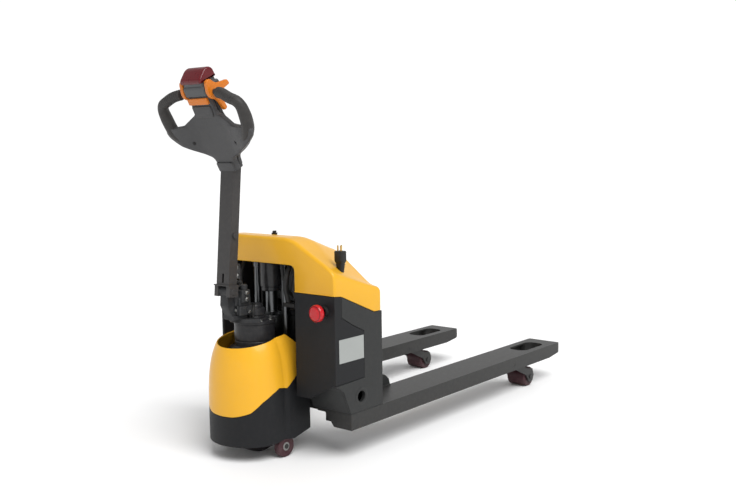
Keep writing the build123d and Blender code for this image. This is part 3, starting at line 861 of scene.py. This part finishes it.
@dataclass
class Hood:
    """Upper cover: a saddle that drops towards the load, with an arched opening at the front.

    Attributes:
        stations: x of the front, the ridge and the rear.
        shape: at each station, side height, shoulder (y, z) and crown (y, z).
        half_width: half of the full width.
        seam: (x, z) of the lower edge.
        step_x: the left part starts here; ahead of it the hood ends at step_y.
        step_y: see step_x.
        arch: half width and height of the opening.
        arch_low: height of the opening's feet.
        arch_corner: cut-back length of the opening's corners.
        jamb: x at which the opening's roof ends, and at which its sides end.
        nose: radius of the front rim.
        tail: radius of the rear rim.
        lining: where the liner's rows stand behind the front, and how much wider each is.
        wall: thickness of the moulding.
    """

    stations: tuple[float, float, float] = (-226.0, -140.0, -4.0)
    shape: tuple = ((609, 318, 631, 153, 713), (582, 311, 600, 151, 711), (541, 300, 549, 147, 659))
    half_width: float = 342.5
    seam: tuple = ((-226, 541), (-195, 538), (-38, 469), (0, 469))
    step_x: float = -67.0
    step_y: float = 182.0
    arch: tuple[float, float] = (170.0, 625.0)
    arch_low: float = 541.0
    arch_corner: float = 24.0
    jamb: tuple[float, float] = (-213.0, -174.0)
    nose: float = 12.0
    tail: float = 8.0
    lining: tuple = ((0.0, 4.0), (0.6, 2.0), (2.0, 0.7), (4.0, 0.0))
    wall: float = 4.0

    def low(self, x: float) -> float:
        """Height of the seam under the hood at x."""
        return float(np.interp(x, *np.array(self.seam, float).T))

    def section(self, x: float, gone: float, whole: bool) -> Array:
        """One cross-section from the right seam over the top to the left seam.

        Formula: the shape table is interpolated along x and averaged over 40 mm, so the ridge is
        round; the corners are then rounded, and gone pulls the outline in near the ends.

        Args:
            x: place of the section.
            gone: how far the outline is pulled in.
            whole: whether it reaches the left side or stops at step_y.

        Returns:
            (n, 3) points.
        """
        table = np.asarray(self.shape, float)
        side, out, out_z, top, top_z = (np.mean([np.interp(x + k, self.stations, table[:, j])
                                                 for k in np.linspace(-20, 20, 9)]) for j in range(5))
        edge, low = self.half_width - 0.5 * gone, self.low(x)
        right = [(-edge, low), (-edge, side - 0.4 * gone), (-out + 0.6 * gone, out_z - 0.8 * gone),
                 (-top + 0.4 * gone, top_z - gone)]
        if whole:
            left = [(-y, z) for y, z in reversed(right)]
        else:
            slope_z = top_z + (self.step_y - top) / (out - top) * (out_z - top_z)
            wall = self.step_y - 0.5 * gone
            left = [(top - 0.4 * gone, top_z - gone), (wall, slope_z - gone), (wall, slope_z - 30 - gone),
                    (wall, low)]
        outline = soft_outline(right + left, [0, 16, 18, 40, 24, 12, 12, 0], 7, closed=False)
        return np.column_stack((np.full(len(outline), x), outline))

    def build(self) -> None:
        """Skin, front face and liner in one shell, with the wall added inwards."""
        rows = self._rows()
        shell = skin(rows, wrap=False, caps=(False, True))
        arches = np.stack([self._arch(self.stations[0] + back, more) for back, more in self.lining]
                          + [self._arch(self.jamb[0], 0.0)])
        liner = skin(arches, wrap=False, caps=(False, False))
        half, top = self.arch
        heights = (self.arch_low, top - self.arch_corner)
        jambs = [skin(np.array([[(x, y, z) for z in heights] for x in self.jamb]), wrap=False,
                      caps=(False, False)) for y in (half, -half)]
        face = np.concatenate((rows[0], arches[0]))
        plate = (face, [list(range(len(face)))])
        shown = piece("hood_shell", *joined([shell, liner, *jambs, plate]), "chassis", 28)
        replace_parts(lined_outward(shown, (-110, -60, 470)), "hood")
        dress(edged(shown, self.wall, 0.8), "hood_yellow")
        self._lip()

    def _rows(self) -> Array:
        """Cross-sections from the front rim to the rear rim.

        Formula: in each rim x moves by r (1 - sin a) while the outline is pulled in by r (1 - cos a).

        Returns:
            (sections, points, 3) array.
        """
        front, _, rear = self.stations
        bend = np.linspace(np.pi / 2, 0, 6)
        rows = [self.section(front + self.nose * (1 - math.sin(a)), self.nose * (1 - math.cos(a)), False)
                for a in bend]
        rows += [self.section(x, 0, False) for x in np.linspace(front + 1.5 * self.nose, self.step_x, 34)]
        rows += [self.section(x, 0, True) for x in np.linspace(self.step_x, rear - self.tail, 16)]
        rows += [self.section(rear - self.tail * (1 - math.sin(a)), self.tail * (1 - math.cos(a)), True)
                 for a in bend[::-1][1:]]
        return np.stack(rows)

    def _arch(self, x: float, more: float) -> Array:
        """Outline of the opening at one depth.

        Args:
            x: depth of the outline.
            more: how much wider and higher it is than the opening.

        Returns:
            (n, 3) points.
        """
        half, top = self.arch[0] + more, self.arch[1] + more
        path = soft_outline([(half, self.arch_low), (half, top), (-half, top), (-half, self.arch_low)],
                            self.arch_corner, 8, closed=False)
        return np.column_stack((np.full(len(path), x), path))

    def _lip(self) -> None:
        """Rounded flange along the seam on the right-hand side and the front."""
        y = -self.half_width
        path = [(-225.5, -172.5, 541.5), (-225.5, -337.0, 541.5), (-222, y + 0.6, 541.3), (-195, y, 538.5),
                (-116, y, 504), (-38, y, 470), (-12, y, 469.6)]
        fine = soft_outline(path, 6, 5, closed=False)
        lip = tube(fine + (0, 0.8, 0.8), 1.5, 8)
        dress(piece("hood_lip", *lip, "chassis", 60), "hood_yellow")


@dataclass
class DriveCover:
    """Bullet-shaped cover of the drive unit, in a yellow upper and a black lower moulding.

    Attributes:
        profile: (height, half width) of the section.
        rim: (x, z) of the upper edge.
        split: (x, z) of the parting line.
        hem: (x, z) of the lower edge.
        centre_x: the front part shrinks towards this x as the section narrows.
        half_width: half width of the flanks.
        gap: width of the parting line.
        wall: thickness of the mouldings.
    """

    profile: tuple = ((50, 145), (160, 145), (210, 144.6), (270, 142), (325, 133), (368, 118), (395, 99))
    rim: tuple = ((-400, 358), (-342, 370), (-243, 390), (-205, 394), (-193, 383), (-143, 331), (-139, 326))
    split: tuple = ((-410, 146), (-388, 150), (-360, 165), (-331, 197), (-300, 220), (-273, 235), (-240, 228),
                    (-150, 296), (-100, 300))
    hem: tuple = ((-410, 51), (-300, 55), (-256, 63), (-213, 56), (-140, 74))
    centre_x: float = -250.0
    half_width: float = 145.0
    gap: float = 1.6
    wall: float = 4.0

    def plan(self) -> Array:
        """Lower outline from the right-hand rear round the nose to the left-hand rear.

        Formula: ellipse of half axes 123 and 143 about x = -272, carried 9 degrees past its widest
        point, a smooth step out to 145 and a straight flank.

        Returns:
            (n, 2) array of x and y.
        """
        t = np.radians(np.linspace(0, 99, 72))
        nose = np.stack((-272 - 123 * np.cos(t), 143 * np.sin(t)), axis=-1)
        k = np.linspace(0.08, 1, 14)
        step = np.stack((-252.5 + 24 * k, 141.1 + 3.9 * k * k * (3 - 2 * k)), axis=-1)
        flank = np.stack((np.linspace(-220, -140, 18), np.full(18, self.half_width)), axis=-1)
        half = np.concatenate((nose, step, flank))
        return np.concatenate((half[::-1] * (1, -1), half[1:]))

    def shell(self, low: tuple, high: tuple, drop: float, count: int) -> Surface:
        """The part of the cover between two edge lines.

        Formula: height = low(x) + f (high(x) - low(x)); the outline is scaled by the section's half
        width at that height over 145, and x is found again until height and outline agree.

        Args:
            low: (x, z) of the lower edge.
            high: (x, z) of the upper edge.
            drop: how far the part stays below the upper edge.
            count: rows from edge to edge.

        Returns:
            Vertices and faces.
        """
        plan, f = self.plan()[None], np.linspace(0, 1, count)[:, None]
        smooth = soft_outline([list(p) for p in self.profile], 24, 6, closed=False)
        x = plan[..., 0] + 0 * f
        for _ in range(12):
            lower = np.interp(x, *np.array(low, float).T)
            upper = np.interp(x, *np.array(high, float).T) - drop
            z = lower + f * (upper - lower)
            scale = np.interp(z, smooth[:, 0], smooth[:, 1]) / self.half_width
            ahead = self.centre_x + (plan[..., 0] - self.centre_x) * scale
            x = np.where(plan[..., 0] < self.centre_x, ahead, plan[..., 0])
        return skin(np.stack((x, plan[..., 1] * scale, z), axis=-1), wrap=False, caps=(False, False))

    def build(self) -> None:
        """Both mouldings."""
        for name, node, slot, edges in (
                ("cover_upper", "drive_cover", "cover_yellow", (self.split, self.rim, 0.0, 44)),
                ("cover_lower", "drive_skirt", "cover_black", (self.hem, self.split, self.gap, 40))):
            shown = piece(name, *self.shell(*edges), "drive_base", 40)
            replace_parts(lined_outward(shown, (-240, 0, 240)), node)
            dress(edged(shown, self.wall, 1.1), slot)


@dataclass
class DriveUnit:
    """Motor, brake, wheel and the fittings on the steered unit, about the steering axis.

    Attributes:
        axis_x: place of the steering axis.
        wheel_z: height of the wheel's axle.
        motor: radii and heights of the motor from flange to cap.
        brake: radii and heights of the brake.
        tyre: radii and widths of the tyre.
        hub: radii and widths of the hub with its flange.
        studs: bearings of the motor's studs in degrees.
        casting: for each block of the steering casting, its x and y limits, heights and rim radius.
        switch: radii and heights of the round switch on the casting.
        gland: radii and lengths of the cable gland in its side.
    """

    axis_x: float = -243.0
    wheel_z: float = 105.0
    motor: tuple = ((CORE, 346), (82, 346), (82, 352), (70, 354), (66, 358), (66, 372), (65, 373), (65, 376),
                    (66, 377), (66, 428), (68, 430), (69, 436), (68, 440), (50, 440), (49, 444), (46, 446),
                    (CORE, 446))
    brake: tuple = ((CORE, 440), (36, 441), (36, 450), (34, 451), (34, 455), (36, 456), (36, 470), (34, 476),
                    (31, 478), (28, 479), (28, 486), (25, 490), (CORE, 490))
    tyre: tuple = ((60, -32), (96, -32), (101, -31), (104, -28), (105, -23), (105, 23), (104, 28), (101, 31),
                   (96, 32), (60, 32))
    hub: tuple = ((CORE, -24), (24, -24), (26, -22), (26, -14), (48, -14), (52, -28), (54, -30), (60, -30),
                  (60, 30), (25, 30), (24.9, 60), (CORE, 60))
    studs: tuple = (20, 70, 110, 250, 290, 340)
    casting: tuple = (((-338, -284), (-40, 40), (466, 496), 4), ((-330, -296), (-44, -18), (508, 548), 3),
                      ((-326, -296), (16, 44), (500, 556), 3), ((-344, -322), (-26, 26), (496, 540), 3))
    switch: tuple = ((CORE, 0), (11, 0), (12, 2), (12, 16), (9, 19), (CORE, 19))
    gland: tuple = ((CORE, 0), (9, 0), (9, 9), (12, 10), (12, 13), (CORE, 14))

    def build(self) -> None:
        """Every piece of the drive unit."""
        for name, node, profile, count, ease in (("motor_housing", "drive_motor", self.motor, 96, 0.6),
                                                 ("brake_housing", "motor_brake", self.brake, 64, 0.5)):
            shown = piece(name, *turned(profile, (self.axis_x, 0, 0), "z", count), "steered_unit")
            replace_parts(shown, node)
            dress(edged(shown, 0, ease), "motor")
        studs = [bolt((self.axis_x + 57 * math.cos(a), 57 * math.sin(a), 439.5), "z", 5.5, 6.0)
                 for a in np.radians(self.studs)]
        pads = [bolt((x, y, 466), "z", 5.0, 5.0) for y in (-22, 22) for x in (-318, -297.6)]
        for name, heads in (("motor_studs", studs), ("pad_bolts", pads)):
            dress(piece(name, *joined(heads), "steered_unit", 30), "steel", FINISH.zinc)
        self._tails()
        self._steering_head()
        self._wheel()

    def _block(self, xs: tuple, ys: tuple, zs: tuple, edge: float) -> Surface:
        """An upright block with rounded corners.

        Args:
            xs: least and greatest x.
            ys: least and greatest y.
            zs: lowest and highest z.
            edge: radius of its upper and lower rims.

        Returns:
            Vertices and faces.
        """
        corners = [(xs[0], ys[0]), (xs[1], ys[0]), (xs[1], ys[1]), (xs[0], ys[1])]
        return slab(soft_outline(corners, 5, 4), *zs, edge, across_z)

    def _steering_head(self) -> None:
        """Casting, clevis block, switches and ribs between the brake and the tiller's hinge."""
        parts = [self._block(*limits) for limits in self.casting]
        clevis = soft_outline([(-334, -33), (-288, -37), (-288, 37), (-334, 33)], 5, 4)
        parts.append(slab(clevis, 494, 524, 4, across_z))
        parts += [self._block((-342, -336), (y - 2, y + 2), (470, 498), 1) for y in (-30, -12, 6, 24)]
        for profile, at, axis in ((self.switch, (-313, -31, 546), "z"), (self.gland, (-304, -44, 486), "y")):
            parts.append(turned(profile, at, axis, 32))
        shown = piece("steering_casting", *joined(parts), "steered_unit", 40)
        dress(edged(shown, 0, 0.6), "cast")
        heads = [bolt((-313, -45, z), "y", 6.0, 5.0, -1) for z in (518, 538)]
        heads += [bolt((-339, y, 483), "x", 4.5, 4.5, -1) for y in (-21, 15)]
        heads.append(bolt((-300, -41, 476), "y", 5.0, 4.5, -1))
        dress(piece("casting_bolts", *joined(heads), "steered_unit", 30), "steel", FINISH.zinc)
        loom = (((-300, 30, 554), (-300, 34, 572), (-284, 20, 566), (-270, 4, 486)),
                ((-312, -24, 562), (-308, -14, 574), (-290, 2, 560), (-262, -6, 488)),
                ((-330, 8, 538), (-330, 4, 556), (-300, -6, 556), (-276, -12, 484)))
        dress(piece("switch_loom", *cables(loom, (3.4, 3.4, 3.4), 16), "steered_unit", 60), "cable")

    def _tails(self) -> None:
        """Short cables from the brake to the motor's terminals."""
        x = self.axis_x
        runs = [((x - 8, side * 8, 488), (x - 22, side * reach, 495), (x - 42, side * (reach + 14), 480),
                 (x - 46, side * (reach + 20), 446)) for side, reach in ((-1, 26), (1, 26), (-1, 12))]
        dress(piece("brake_tails", *cables(runs, (3.2, 3.2, 3.2), 14), "steered_unit", 60), "cable")

    def _wheel(self) -> None:
        """Tyre with rounded shoulders and a hub with its bolt circle."""
        at = (self.axis_x, 0, self.wheel_z)
        shown = piece("drive_tyre_tread", *bored(turned(self.tyre, at, "y", 96)), "drive_wheel")
        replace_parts(shown, "drive_tyre")
        dress(shown, "drive_pu")
        nuts = [bolt((at[0] + 38 * math.cos(a), -14, at[2] + 38 * math.sin(a)), "y", 6, 6, -1)
                for a in np.radians(np.arange(0, 360, 72))]
        shown = piece("drive_hub_disc", *joined([turned(self.hub, at, "y", 72), *nuts]), "drive_wheel")
        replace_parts(shown, "drive_hub")
        dress(shown, "cast")


@dataclass
class Mast:
    """Lift cylinder, guide rods, hoses and brackets in the well.

    Attributes:
        cylinder_x: place of the cylinder's axis.
        rod_y: distance of each guide rod from the middle.
        barrel: radii and heights of the cylinder, open below for its ram.
        rod: radii and heights of a guide rod with its collar.
        runs: corner points of the hoses.
        radii: radius of each hose.
    """

    cylinder_x: float = -165.0
    rod_y: float = 66.0
    barrel: tuple = ((20.2, 525), (31, 525), (33, 527.5), (33, 539), (36, 540.5), (37, 543), (37, 650),
                     (35, 653), (35, 658), (37, 660), (37, 665), (34, 668), (CORE, 668))
    rod: tuple = ((CORE, 262), (10, 262), (12, 265), (12, 600), (15.5, 601), (15.5, 616), (14, 618),
                  (12, 618.5), (12, 636), (CORE, 636))
    runs: tuple = (((-110, -84, 566), (-112, -86, 530), (-96, -60, 490), (-70, -24, 446)),
                   ((-110, -70, 622), (-112, -60, 632), (-116, 20, 632), (-112, 86, 620), (-96, 96, 520),
                    (-64, 60, 440)),
                   ((-128, 60, 630), (-132, 74, 560), (-124, 86, 470), (-110, 90, 300)),
                   ((-206, -96, 634), (-208, -100, 590), (-200, -108, 540), (-150, -108, 500),
                    (-124, -96, 440)))
    radii: tuple = (6.5, 6.5, 8.0, 5.5)

    def build(self) -> None:
        """Every piece in the well."""
        points, faces = turned(self.barrel, (self.cylinder_x, 0, 0), "z", 72)
        shown = piece("cylinder_barrel", points, faces[:-2] + faces[-1:], "chassis")
        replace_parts(shown, "lift_cylinder")
        dress(edged(shown, 0, 0.6), "cylinder")
        for side in Side:
            rod = turned(self.rod, (self.cylinder_x, side.value * self.rod_y, 0), "z", 48)
            shown = piece(f"guide_rod_{side.value + 2}", *rod, "chassis")
            dress(shown, "rod_steel")
            if side is Side.LEFT:
                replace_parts(shown, "guide_rods")
        self._brackets()
        self._hoses()
        # Flat black sheet on the well's left wall behind the yellow liner: painted shade standing in for the
        # dark depth of the well.
        lining = soft_outline([(-172, 470), (-69, 470), (-69, 628), (-172, 628)], 6, 4)
        dress(piece("well_lining", *slab(lining, 168, 173, 1.5, across_y), "chassis"), "cover_black")

    def _brackets(self) -> None:
        """Bent plate at the left of the head plate, valve block and their bolts."""
        plate = soft_outline([(96, 560), (116, 560), (120, 566), (120, 612), (96, 612)], 4, 4)
        shown = piece("mast_bracket", *slab(plate, -214, -209, 1.0, across_x), "chassis")
        dress(shown, "alu", FINISH.arm_steel)
        block = soft_outline([(-104, 566), (-64, 566), (-64, 622), (-104, 622)], 5, 4)
        dress(piece("valve_block", *slab(block, -128, -92, 2.0, across_x), "chassis"), "alu")
        heads = [bolt((-214.5, 108, z), "x", 5.0, 4.5, -1) for z in (572.0, 600.0)]
        heads += [bolt((-128.5, y, z), "x", 5.5, 5.0, -1) for y in (-96, -74) for z in (576, 612)]
        dress(piece("bracket_bolts", *joined(heads), "chassis", 30), "steel", FINISH.zinc)

    def _hoses(self) -> None:
        """Hydraulic hoses with crimped ends between the valve block, cylinder and pump."""
        tubes = cables(self.runs, self.radii, 30, 9, 16)
        dress(piece("hydraulic_hoses", *tubes, "chassis", 60), "cable")
        crimps = []
        for at, radius, length in (((-110, -84, 548), 8, 18), ((-129, 63, 612), 9, 20)):
            wide = radius + 0.6
            profile = [(CORE, 0), (radius, 0), (wide, 2), (wide, length - 2), (radius, length), (CORE, length)]
            crimps.append(turned(profile, at, "z", 20))
        dress(piece("hose_crimps", *joined(crimps), "chassis", 30), "steel", FINISH.zinc)


@dataclass
class Wheels:
    """Load rollers and stabiliser wheels, with rounded treads, recessed discs and bearings.

    Attributes:
        roller: x, distance from the middle and height of a load roller's axle.
        roller_size: radius, half width and bore radius of a load roller.
        castor: the same place for a stabiliser wheel.
        castor_size: the same sizes for a stabiliser wheel.
        face: (share of the radius, depth) of each wheel's face.
    """

    roller: tuple[float, float, float] = (990.5, 269.0, 40.0)
    roller_size: tuple[float, float, float] = (40.0, 40.5, 10.08)
    castor: tuple[float, float, float] = (-243.0, 125.0, 35.0)
    castor_size: tuple[float, float, float] = (35.0, 11.0, 8.08)
    face: tuple = ((0.42, 0.6), (0.45, 1.6), (0.60, 1.6), (0.64, 0.3), (0.86, 0.0), (0.95, 0.7), (0.985, 1.9),
                   (1.0, 4.0))

    def build(self) -> None:
        """All four small wheels."""
        for side in Side:
            name = side.name.lower()
            for node, body, at, sizes in (("load_roller_", "roller_", self.roller, self.roller_size),
                                          ("castor_wheel_", "castor_", self.castor, self.castor_size)):
                self._wheel(node + name, body + name, (at[0], side.value * at[1], at[2]), *sizes)

    def _wheel(self, node: str, body: str, centre: tuple, radius: float, half: float, bore: float) -> None:
        """A lathe-turned tread from bore to bore, and a bearing ring in each face.

        Args:
            node: CAD node that the tread replaces.
            body: body on which it rides.
            centre: middle of the axle.
            radius: outer radius.
            half: half width.
            bore: radius of the bore.
        """
        face = [(bore, 0.6)] + [(share * radius, depth) for share, depth in self.face]
        shape = [(r, -half + k) for r, k in face] + [(r, half - k) for r, k in reversed(face)]
        shown = piece(node + "_tread", *bored(turned(shape, centre, "y", 72)), body, 40)
        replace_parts(shown, node)
        dress(shown, "tyre_pu")
        inner, outer = 0.36 * radius, 0.39 * radius
        shape = np.array([(bore, 0.0), (bore, 1.2), (inner, 1.2), (outer, 0.6), (outer, 0.0)])
        rings = []
        for sign in (-1, 1):
            at = (centre[0], centre[1] + sign * (half - 0.9), centre[2])
            rings.append(bored(turned(shape * (1, sign * 0.7), at, "y", 40)))
        dress(piece(node + "_bearings", *joined(rings), body), "steel", FINISH.zinc)


@dataclass
class TillerHead:
    """Head shells, handle loops, box, caps and paddles, in the head's own directions.

    Attributes:
        lower: (half width, v) of the lower shell from neck to box.
        upper: the same for the upper shell.
        corners: cut-back length of each corner of those two outlines.
        paddle: (v, w) of a thumb paddle.
        paddle_corners: cut-back length of each of its corners.
        hub: (v, w) of the paddles' shaft.
        loop: (y, v, w) of a handle loop from the wing to the grip.
        loop_corners: cut-back length of each of its corners.
        loop_radius: radius of the grip, and how much thicker the loop ahead of it is.
        loop_ends: radii of the last four rings, which round off the grip.
    """

    lower: tuple = ((40, -16), (44, 26), (104, 52), (170, 84), (204, 110), (211, 130), (182, 142), (150, 138),
                    (118, 142), (74, 164), (48, 176), (48, 234))
    upper: tuple = ((38, -6), (42, 24), (96, 50), (140, 72), (160, 88), (158, 98), (142, 104), (120, 104),
                    (94, 112), (66, 132), (46, 160), (44, 232))
    paddle: tuple = ((246, -4), (282, 6), (284, 22), (262, 38), (256, 84), (240, 88), (234, 46), (222, 40),
                     (180, 46), (176, 32), (216, 22), (228, 2))
    corners: tuple = (6, 14, 30, 40, 14, 12, 16, 22, 22, 26, 14, 4)
    paddle_corners: tuple = (10, 10, 7, 16, 6, 6, 14, 12, 6, 6, 14, 10)
    hub: tuple[float, float] = (242, 20)
    loop: tuple = ((-150, 92, 14), (-184, 122, 18), (-193, 160, 20), (-193, 214, 20), (-122, 239, 20),
                   (-86, 241, 20))
    loop_corners: tuple = (0, 20, 20, 34, 40, 0)
    loop_radius: tuple[float, float] = (17.0, 2.5)
    loop_ends: tuple = (16.6, 16.0, 14.6, 12.0)

    def build(self) -> None:
        """Every piece of the head."""
        self._shells()
        self._loops()
        self._box()
        self._paddles()
        self._screws()

    def _shells(self) -> None:
        """Two shells that meet in a shallow groove.

        Formula: at each v a superellipse of power 5, as wide as the outline and as thick as the shell.
        """
        for name, node, half, middle, thick in (("head_lower_shell", "head_shell", self.lower, 12.7, 10.7),
                                                ("head_upper_shell", "head_back", self.upper, 32.4, 8.4)):
            edge = soft_outline(half, self.corners, 8, closed=False)
            v = np.maximum.accumulate(edge[:, 1]) + 0.01 * np.arange(len(edge))
            unit = ring(1.0, 1.0, 120, 5.0)
            rows = bowed(edge[:, :1] * unit[:, 0], v[:, None], middle + thick * unit[:, 1])
            shown = piece(name, *skin(rows), "tiller", 50)
            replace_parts(shown, node)
            dress(shown, "head_grey")
        channel = soft_outline([(-39, 168), (39, 168), (42, 178), (42, 205), (-42, 205), (-42, 178)], 5, 5)
        dress(piece("head_centre_panel", *slab(channel, -1.5, 4, 2.5, on_head, 4), "tiller", 50), "head_grey")
        neck = soft_outline([(-36, -18), (36, -18), (37, 14), (-37, 14)], 6, 4)
        dress(piece("head_neck_collar", *slab(neck, -3, 38, 3.0, on_head, 4), "tiller", 50), "head_grey")

    def _loops(self) -> None:
        """Handle tube from each wing round to the grip, with ribs on the grip.

        Formula: the radius is 17, plus 2.5 up to 110 mm before the end, less 10 k^2 where k falls from
        1 to 0 over the first 62 mm; the ribs are 1.3 cos^4 of the distance, 8 mm apart.
        """
        thin, more = self.loop_radius
        route = soft_outline(self.loop, self.loop_corners, 12, closed=False)
        step = np.linalg.norm(np.diff(route, axis=0, prepend=route[:1]), axis=1).cumsum()
        fine = np.linspace(0, step[-1], 220)
        path = np.stack([np.interp(fine, step, route[:, k]) for k in range(3)], axis=-1)
        left = step[-1] - fine
        radius = thin + more * np.clip((left - 110) / 40, 0, 1) - 10 * np.clip(1 - fine / 62, 0, 1) ** 2
        ribs = 1.3 * (0.5 + 0.5 * np.cos(fine * 2 * np.pi / 8.0)) ** 2
        radius -= np.where((left < 96) & (left > 8), ribs, 0.0)
        radius[-4:] = self.loop_ends
        for side in Side:
            name = side.name.lower()
            points = bowed(*(path * (-side.value, 1, 1)).T)
            shown = piece(f"grip_loop_{name}", *tube(points, radius, 32), "tiller", 50)
            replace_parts(shown, f"handle_loop_{name}")
            dress(shown, "grip_rubber")
            across = side.value * np.linspace(90, 48.5, 6)
            spigot = tube(on_head(across, self.hub[0], self.hub[1]), 9.0, 24)
            dress(piece(f"grip_spigot_{name}", *spigot, "tiller"), "grip_rubber")

    def _box(self) -> None:
        """Switch housing, its side arches, the safety cap and the lift bar."""
        shape = soft_outline([(236, -2), (260, -2), (268, 2), (268, 64), (260, 68), (236, 68)],
                             [4, 6, 4, 4, 6, 4], 5)
        neck = soft_outline([(262, 3), (288, 3), (288, 58), (262, 58)], 4, 4)
        box = joined([slab(shape, -48, 48, 5.0, across_head, 5), slab(neck, -43, 43, 2.0, across_head)])
        cap = soft_outline([(277, -2), (284, -5), (292, 0), (312, 30), (314, 48), (304, 62), (277, 64)],
                           [3, 4, 8, 16, 12, 10, 3], 7)
        cap = slab(cap, -48, 48, 7.0, across_head, 7)
        bar = soft_outline([(211, -5), (232, -5), (232, 5), (211, 5)], 3.5, 5)
        bar = slab(bar, -45, 45, 3.5, across_head, 5)
        for name, node, surface, body, slot in (
                ("switch_box", "control_box", box, "tiller", "box_grey"),
                ("safety_cap", "belly_switch", cap, "belly_button", "belly_red"),
                ("lift_bar", "lift_rocker", bar, "rocker", "amber")):
            shown = piece(name, *surface, body, 50)
            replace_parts(shown, node)
            dress(shown, slot)
        arch = soft_outline([(240, 8), (256, 7), (265, 20), (265, 46), (256, 58), (240, 60)], 7, 5)
        faces = [slab(arch, *sorted((sign * 46, sign * 49.2)), 1.4, across_head) for sign in (-1, 1)]
        dress(piece("box_side_arches", *joined(faces), "tiller", 50), "box_grey", FINISH.head_grey)

    def _paddles(self) -> None:
        """Two thumb paddles with their hubs."""
        outline, disc = soft_outline(self.paddle, self.paddle_corners, 6), ring(17, 17, 40) + self.hub
        parts = []
        for sign in (-1, 1):
            for shape, near, far, edge in ((outline, 51, 65, 3.2), (disc, 50.5, 65.5, 3.0)):
                parts.append(slab(shape, *sorted((sign * near, sign * far)), edge, across_head, 4))
        shown = piece("thumb_paddles", *joined(parts), "throttle_paddles", 50)
        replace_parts(shown, "throttle")
        dress(shown, "amber")

    def _screws(self) -> None:
        """Screw heads in the lower shell, each on a black disc that is painted shade for its recess."""
        heads_on_shade_discs = []
        for y, v in ((-98, 84), (98, 84)):
            # Black disc round each screw head: painted shade of the recess.
            heads_on_shade_discs.append(slab(ring(6.0, 6.0, 28) + (y, v), 0.9, 3.6, 0.5, bowed, 2))
            heads_on_shade_discs.append(slab(ring(3.4, 3.4, 6) + (y, v), 0.4, 1.4, 0.3, bowed, 2))
        dress(piece("shell_screws", *joined(heads_on_shade_discs), "tiller", 40), "head_grey", FINISH.plug_black)


@dataclass
class Controls:
    """Emergency stop and parked charging plug.

    Attributes:
        stop: where the stop button's axis meets the cheek.
        collar: radii and distances of the fixed collar.
        mushroom: radii and distances of the moving button with its stem.
        groove: radii and distances of the ring in the button's face, drawn in a darker red as painted shade in
            the groove.
        plug: x and y of the plug's axis.
        growth: (height, share of the full size) of the plug from its tail to its face.
    """

    stop: tuple[float, float, float] = (-226.0, -299.0, 490.0)
    collar: tuple = ((7.1, -1), (11, -1), (19, -1), (19, -6), (17.5, -9), (14, -10), (7.1, -10))
    mushroom: tuple = ((CORE, 20), (7, 20), (7, -18), (12, -19), (14, -22), (25, -26), (27, -29), (27, -36),
                       (25.5, -41), (20, -45), (10, -46), (CORE, -46))
    groove: tuple = ((22.0, -43.6), (22.6, -44.3), (23.4, -44.0), (23.8, -43.0))
    plug: tuple[float, float] = (-149.0, -300.0)
    growth: tuple = ((574, 0), (596, 0), (598, 0), (636, 0.62), (641, 1), (669, 1), (672, 0.92), (673, 0.8))

    def build(self) -> None:
        """Stop button, collar, plug and blades."""
        dress(piece("stop_collar", *bored(turned(self.collar, self.stop, "x", 56)), "chassis"), "plug_black")
        shown = piece("stop_mushroom", *turned(self.mushroom, self.stop, "x", 72), "e_stop", 40)
        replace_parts(shown, "e_stop_button")
        dress(edged(shown, 0, 0.8), "red_plastic")
        # The ring lies on the button's face in the safety cap's darker red: painted shade standing in for the
        # groove.
        groove = bored(turned(self.groove, self.stop, "x", 64))
        dress(piece("stop_groove", *groove, "e_stop", 60), "red_plastic", FINISH.belly_red)
        self._plug()
        self._contacts()

    def _plug(self) -> None:
        """Plug body, ribbed at the waist.

        Formula: a superellipse of power 3.6 with half sizes 8 + 6 g and 8 + 10 g, where g is the
        growth at that height; the ribs add 0.8 sin of the height from z = 600 to 634.
        """
        x, y = self.plug
        z = np.concatenate((np.linspace(574, 636, 46), np.linspace(637, 672, 12), (672.8, 673)))
        grow = np.interp(z, *np.array(self.growth, float).T)
        ribs = np.where((z > 600) & (z < 634), 0.8 * np.sin((z - 600) * 2 * np.pi / 6.8), 0)
        unit = ring(1.0, 1.0, 48, 3.6)
        rows = across_z(x + unit[:, 0] * (8 + 6 * grow + ribs)[:, None],
                        y + unit[:, 1] * (8 + 10 * grow + ribs)[:, None], z[:, None])
        shown = piece("plug_body", *skin(rows), "chassis", 50)
        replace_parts(shown, "charger_plug")
        dress(shown, "plug_black")

    def _contacts(self) -> None:
        """Two flat blades and a round pin on the plug's face."""
        x, y = self.plug
        parts = []
        for middle in (y - 6.4, y + 6.4):
            near, far = middle - 3.2, middle + 3.2
            blade = soft_outline([(near, 671), (far, 671), (far, 691), (near, 691)], 1.2, 3)
            parts.append(slab(blade, x - 5.0, x - 3.4, 0.4, across_x, 2))
        pin = [(CORE, 671), (2.4, 671), (2.4, 689), (1.8, 691.4), (CORE, 692)]
        parts.append(turned(pin, (x + 6, y, 0), "z", 24))
        shown = piece("plug_contacts", *joined(parts), "chassis", 40)
        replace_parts(shown, "plug_blades")
        dress(shown, "brass")


def main() -> None:
    """Builds every sub-assembly and the studio."""
    logging.basicConfig(level=logging.INFO, format="%(name)s %(message)s")
    paint_nodes()
    steelwork = Steelwork()
    for assembly in (steelwork, Hood(), DriveCover(), DriveUnit(), Mast(), Wheels(), TillerHead(), Controls()):
        LOG.info("building %s", type(assembly).__name__)
        assembly.build()
    steelwork.details()
    Studio().build()


if __name__ == "__main__":
    main()
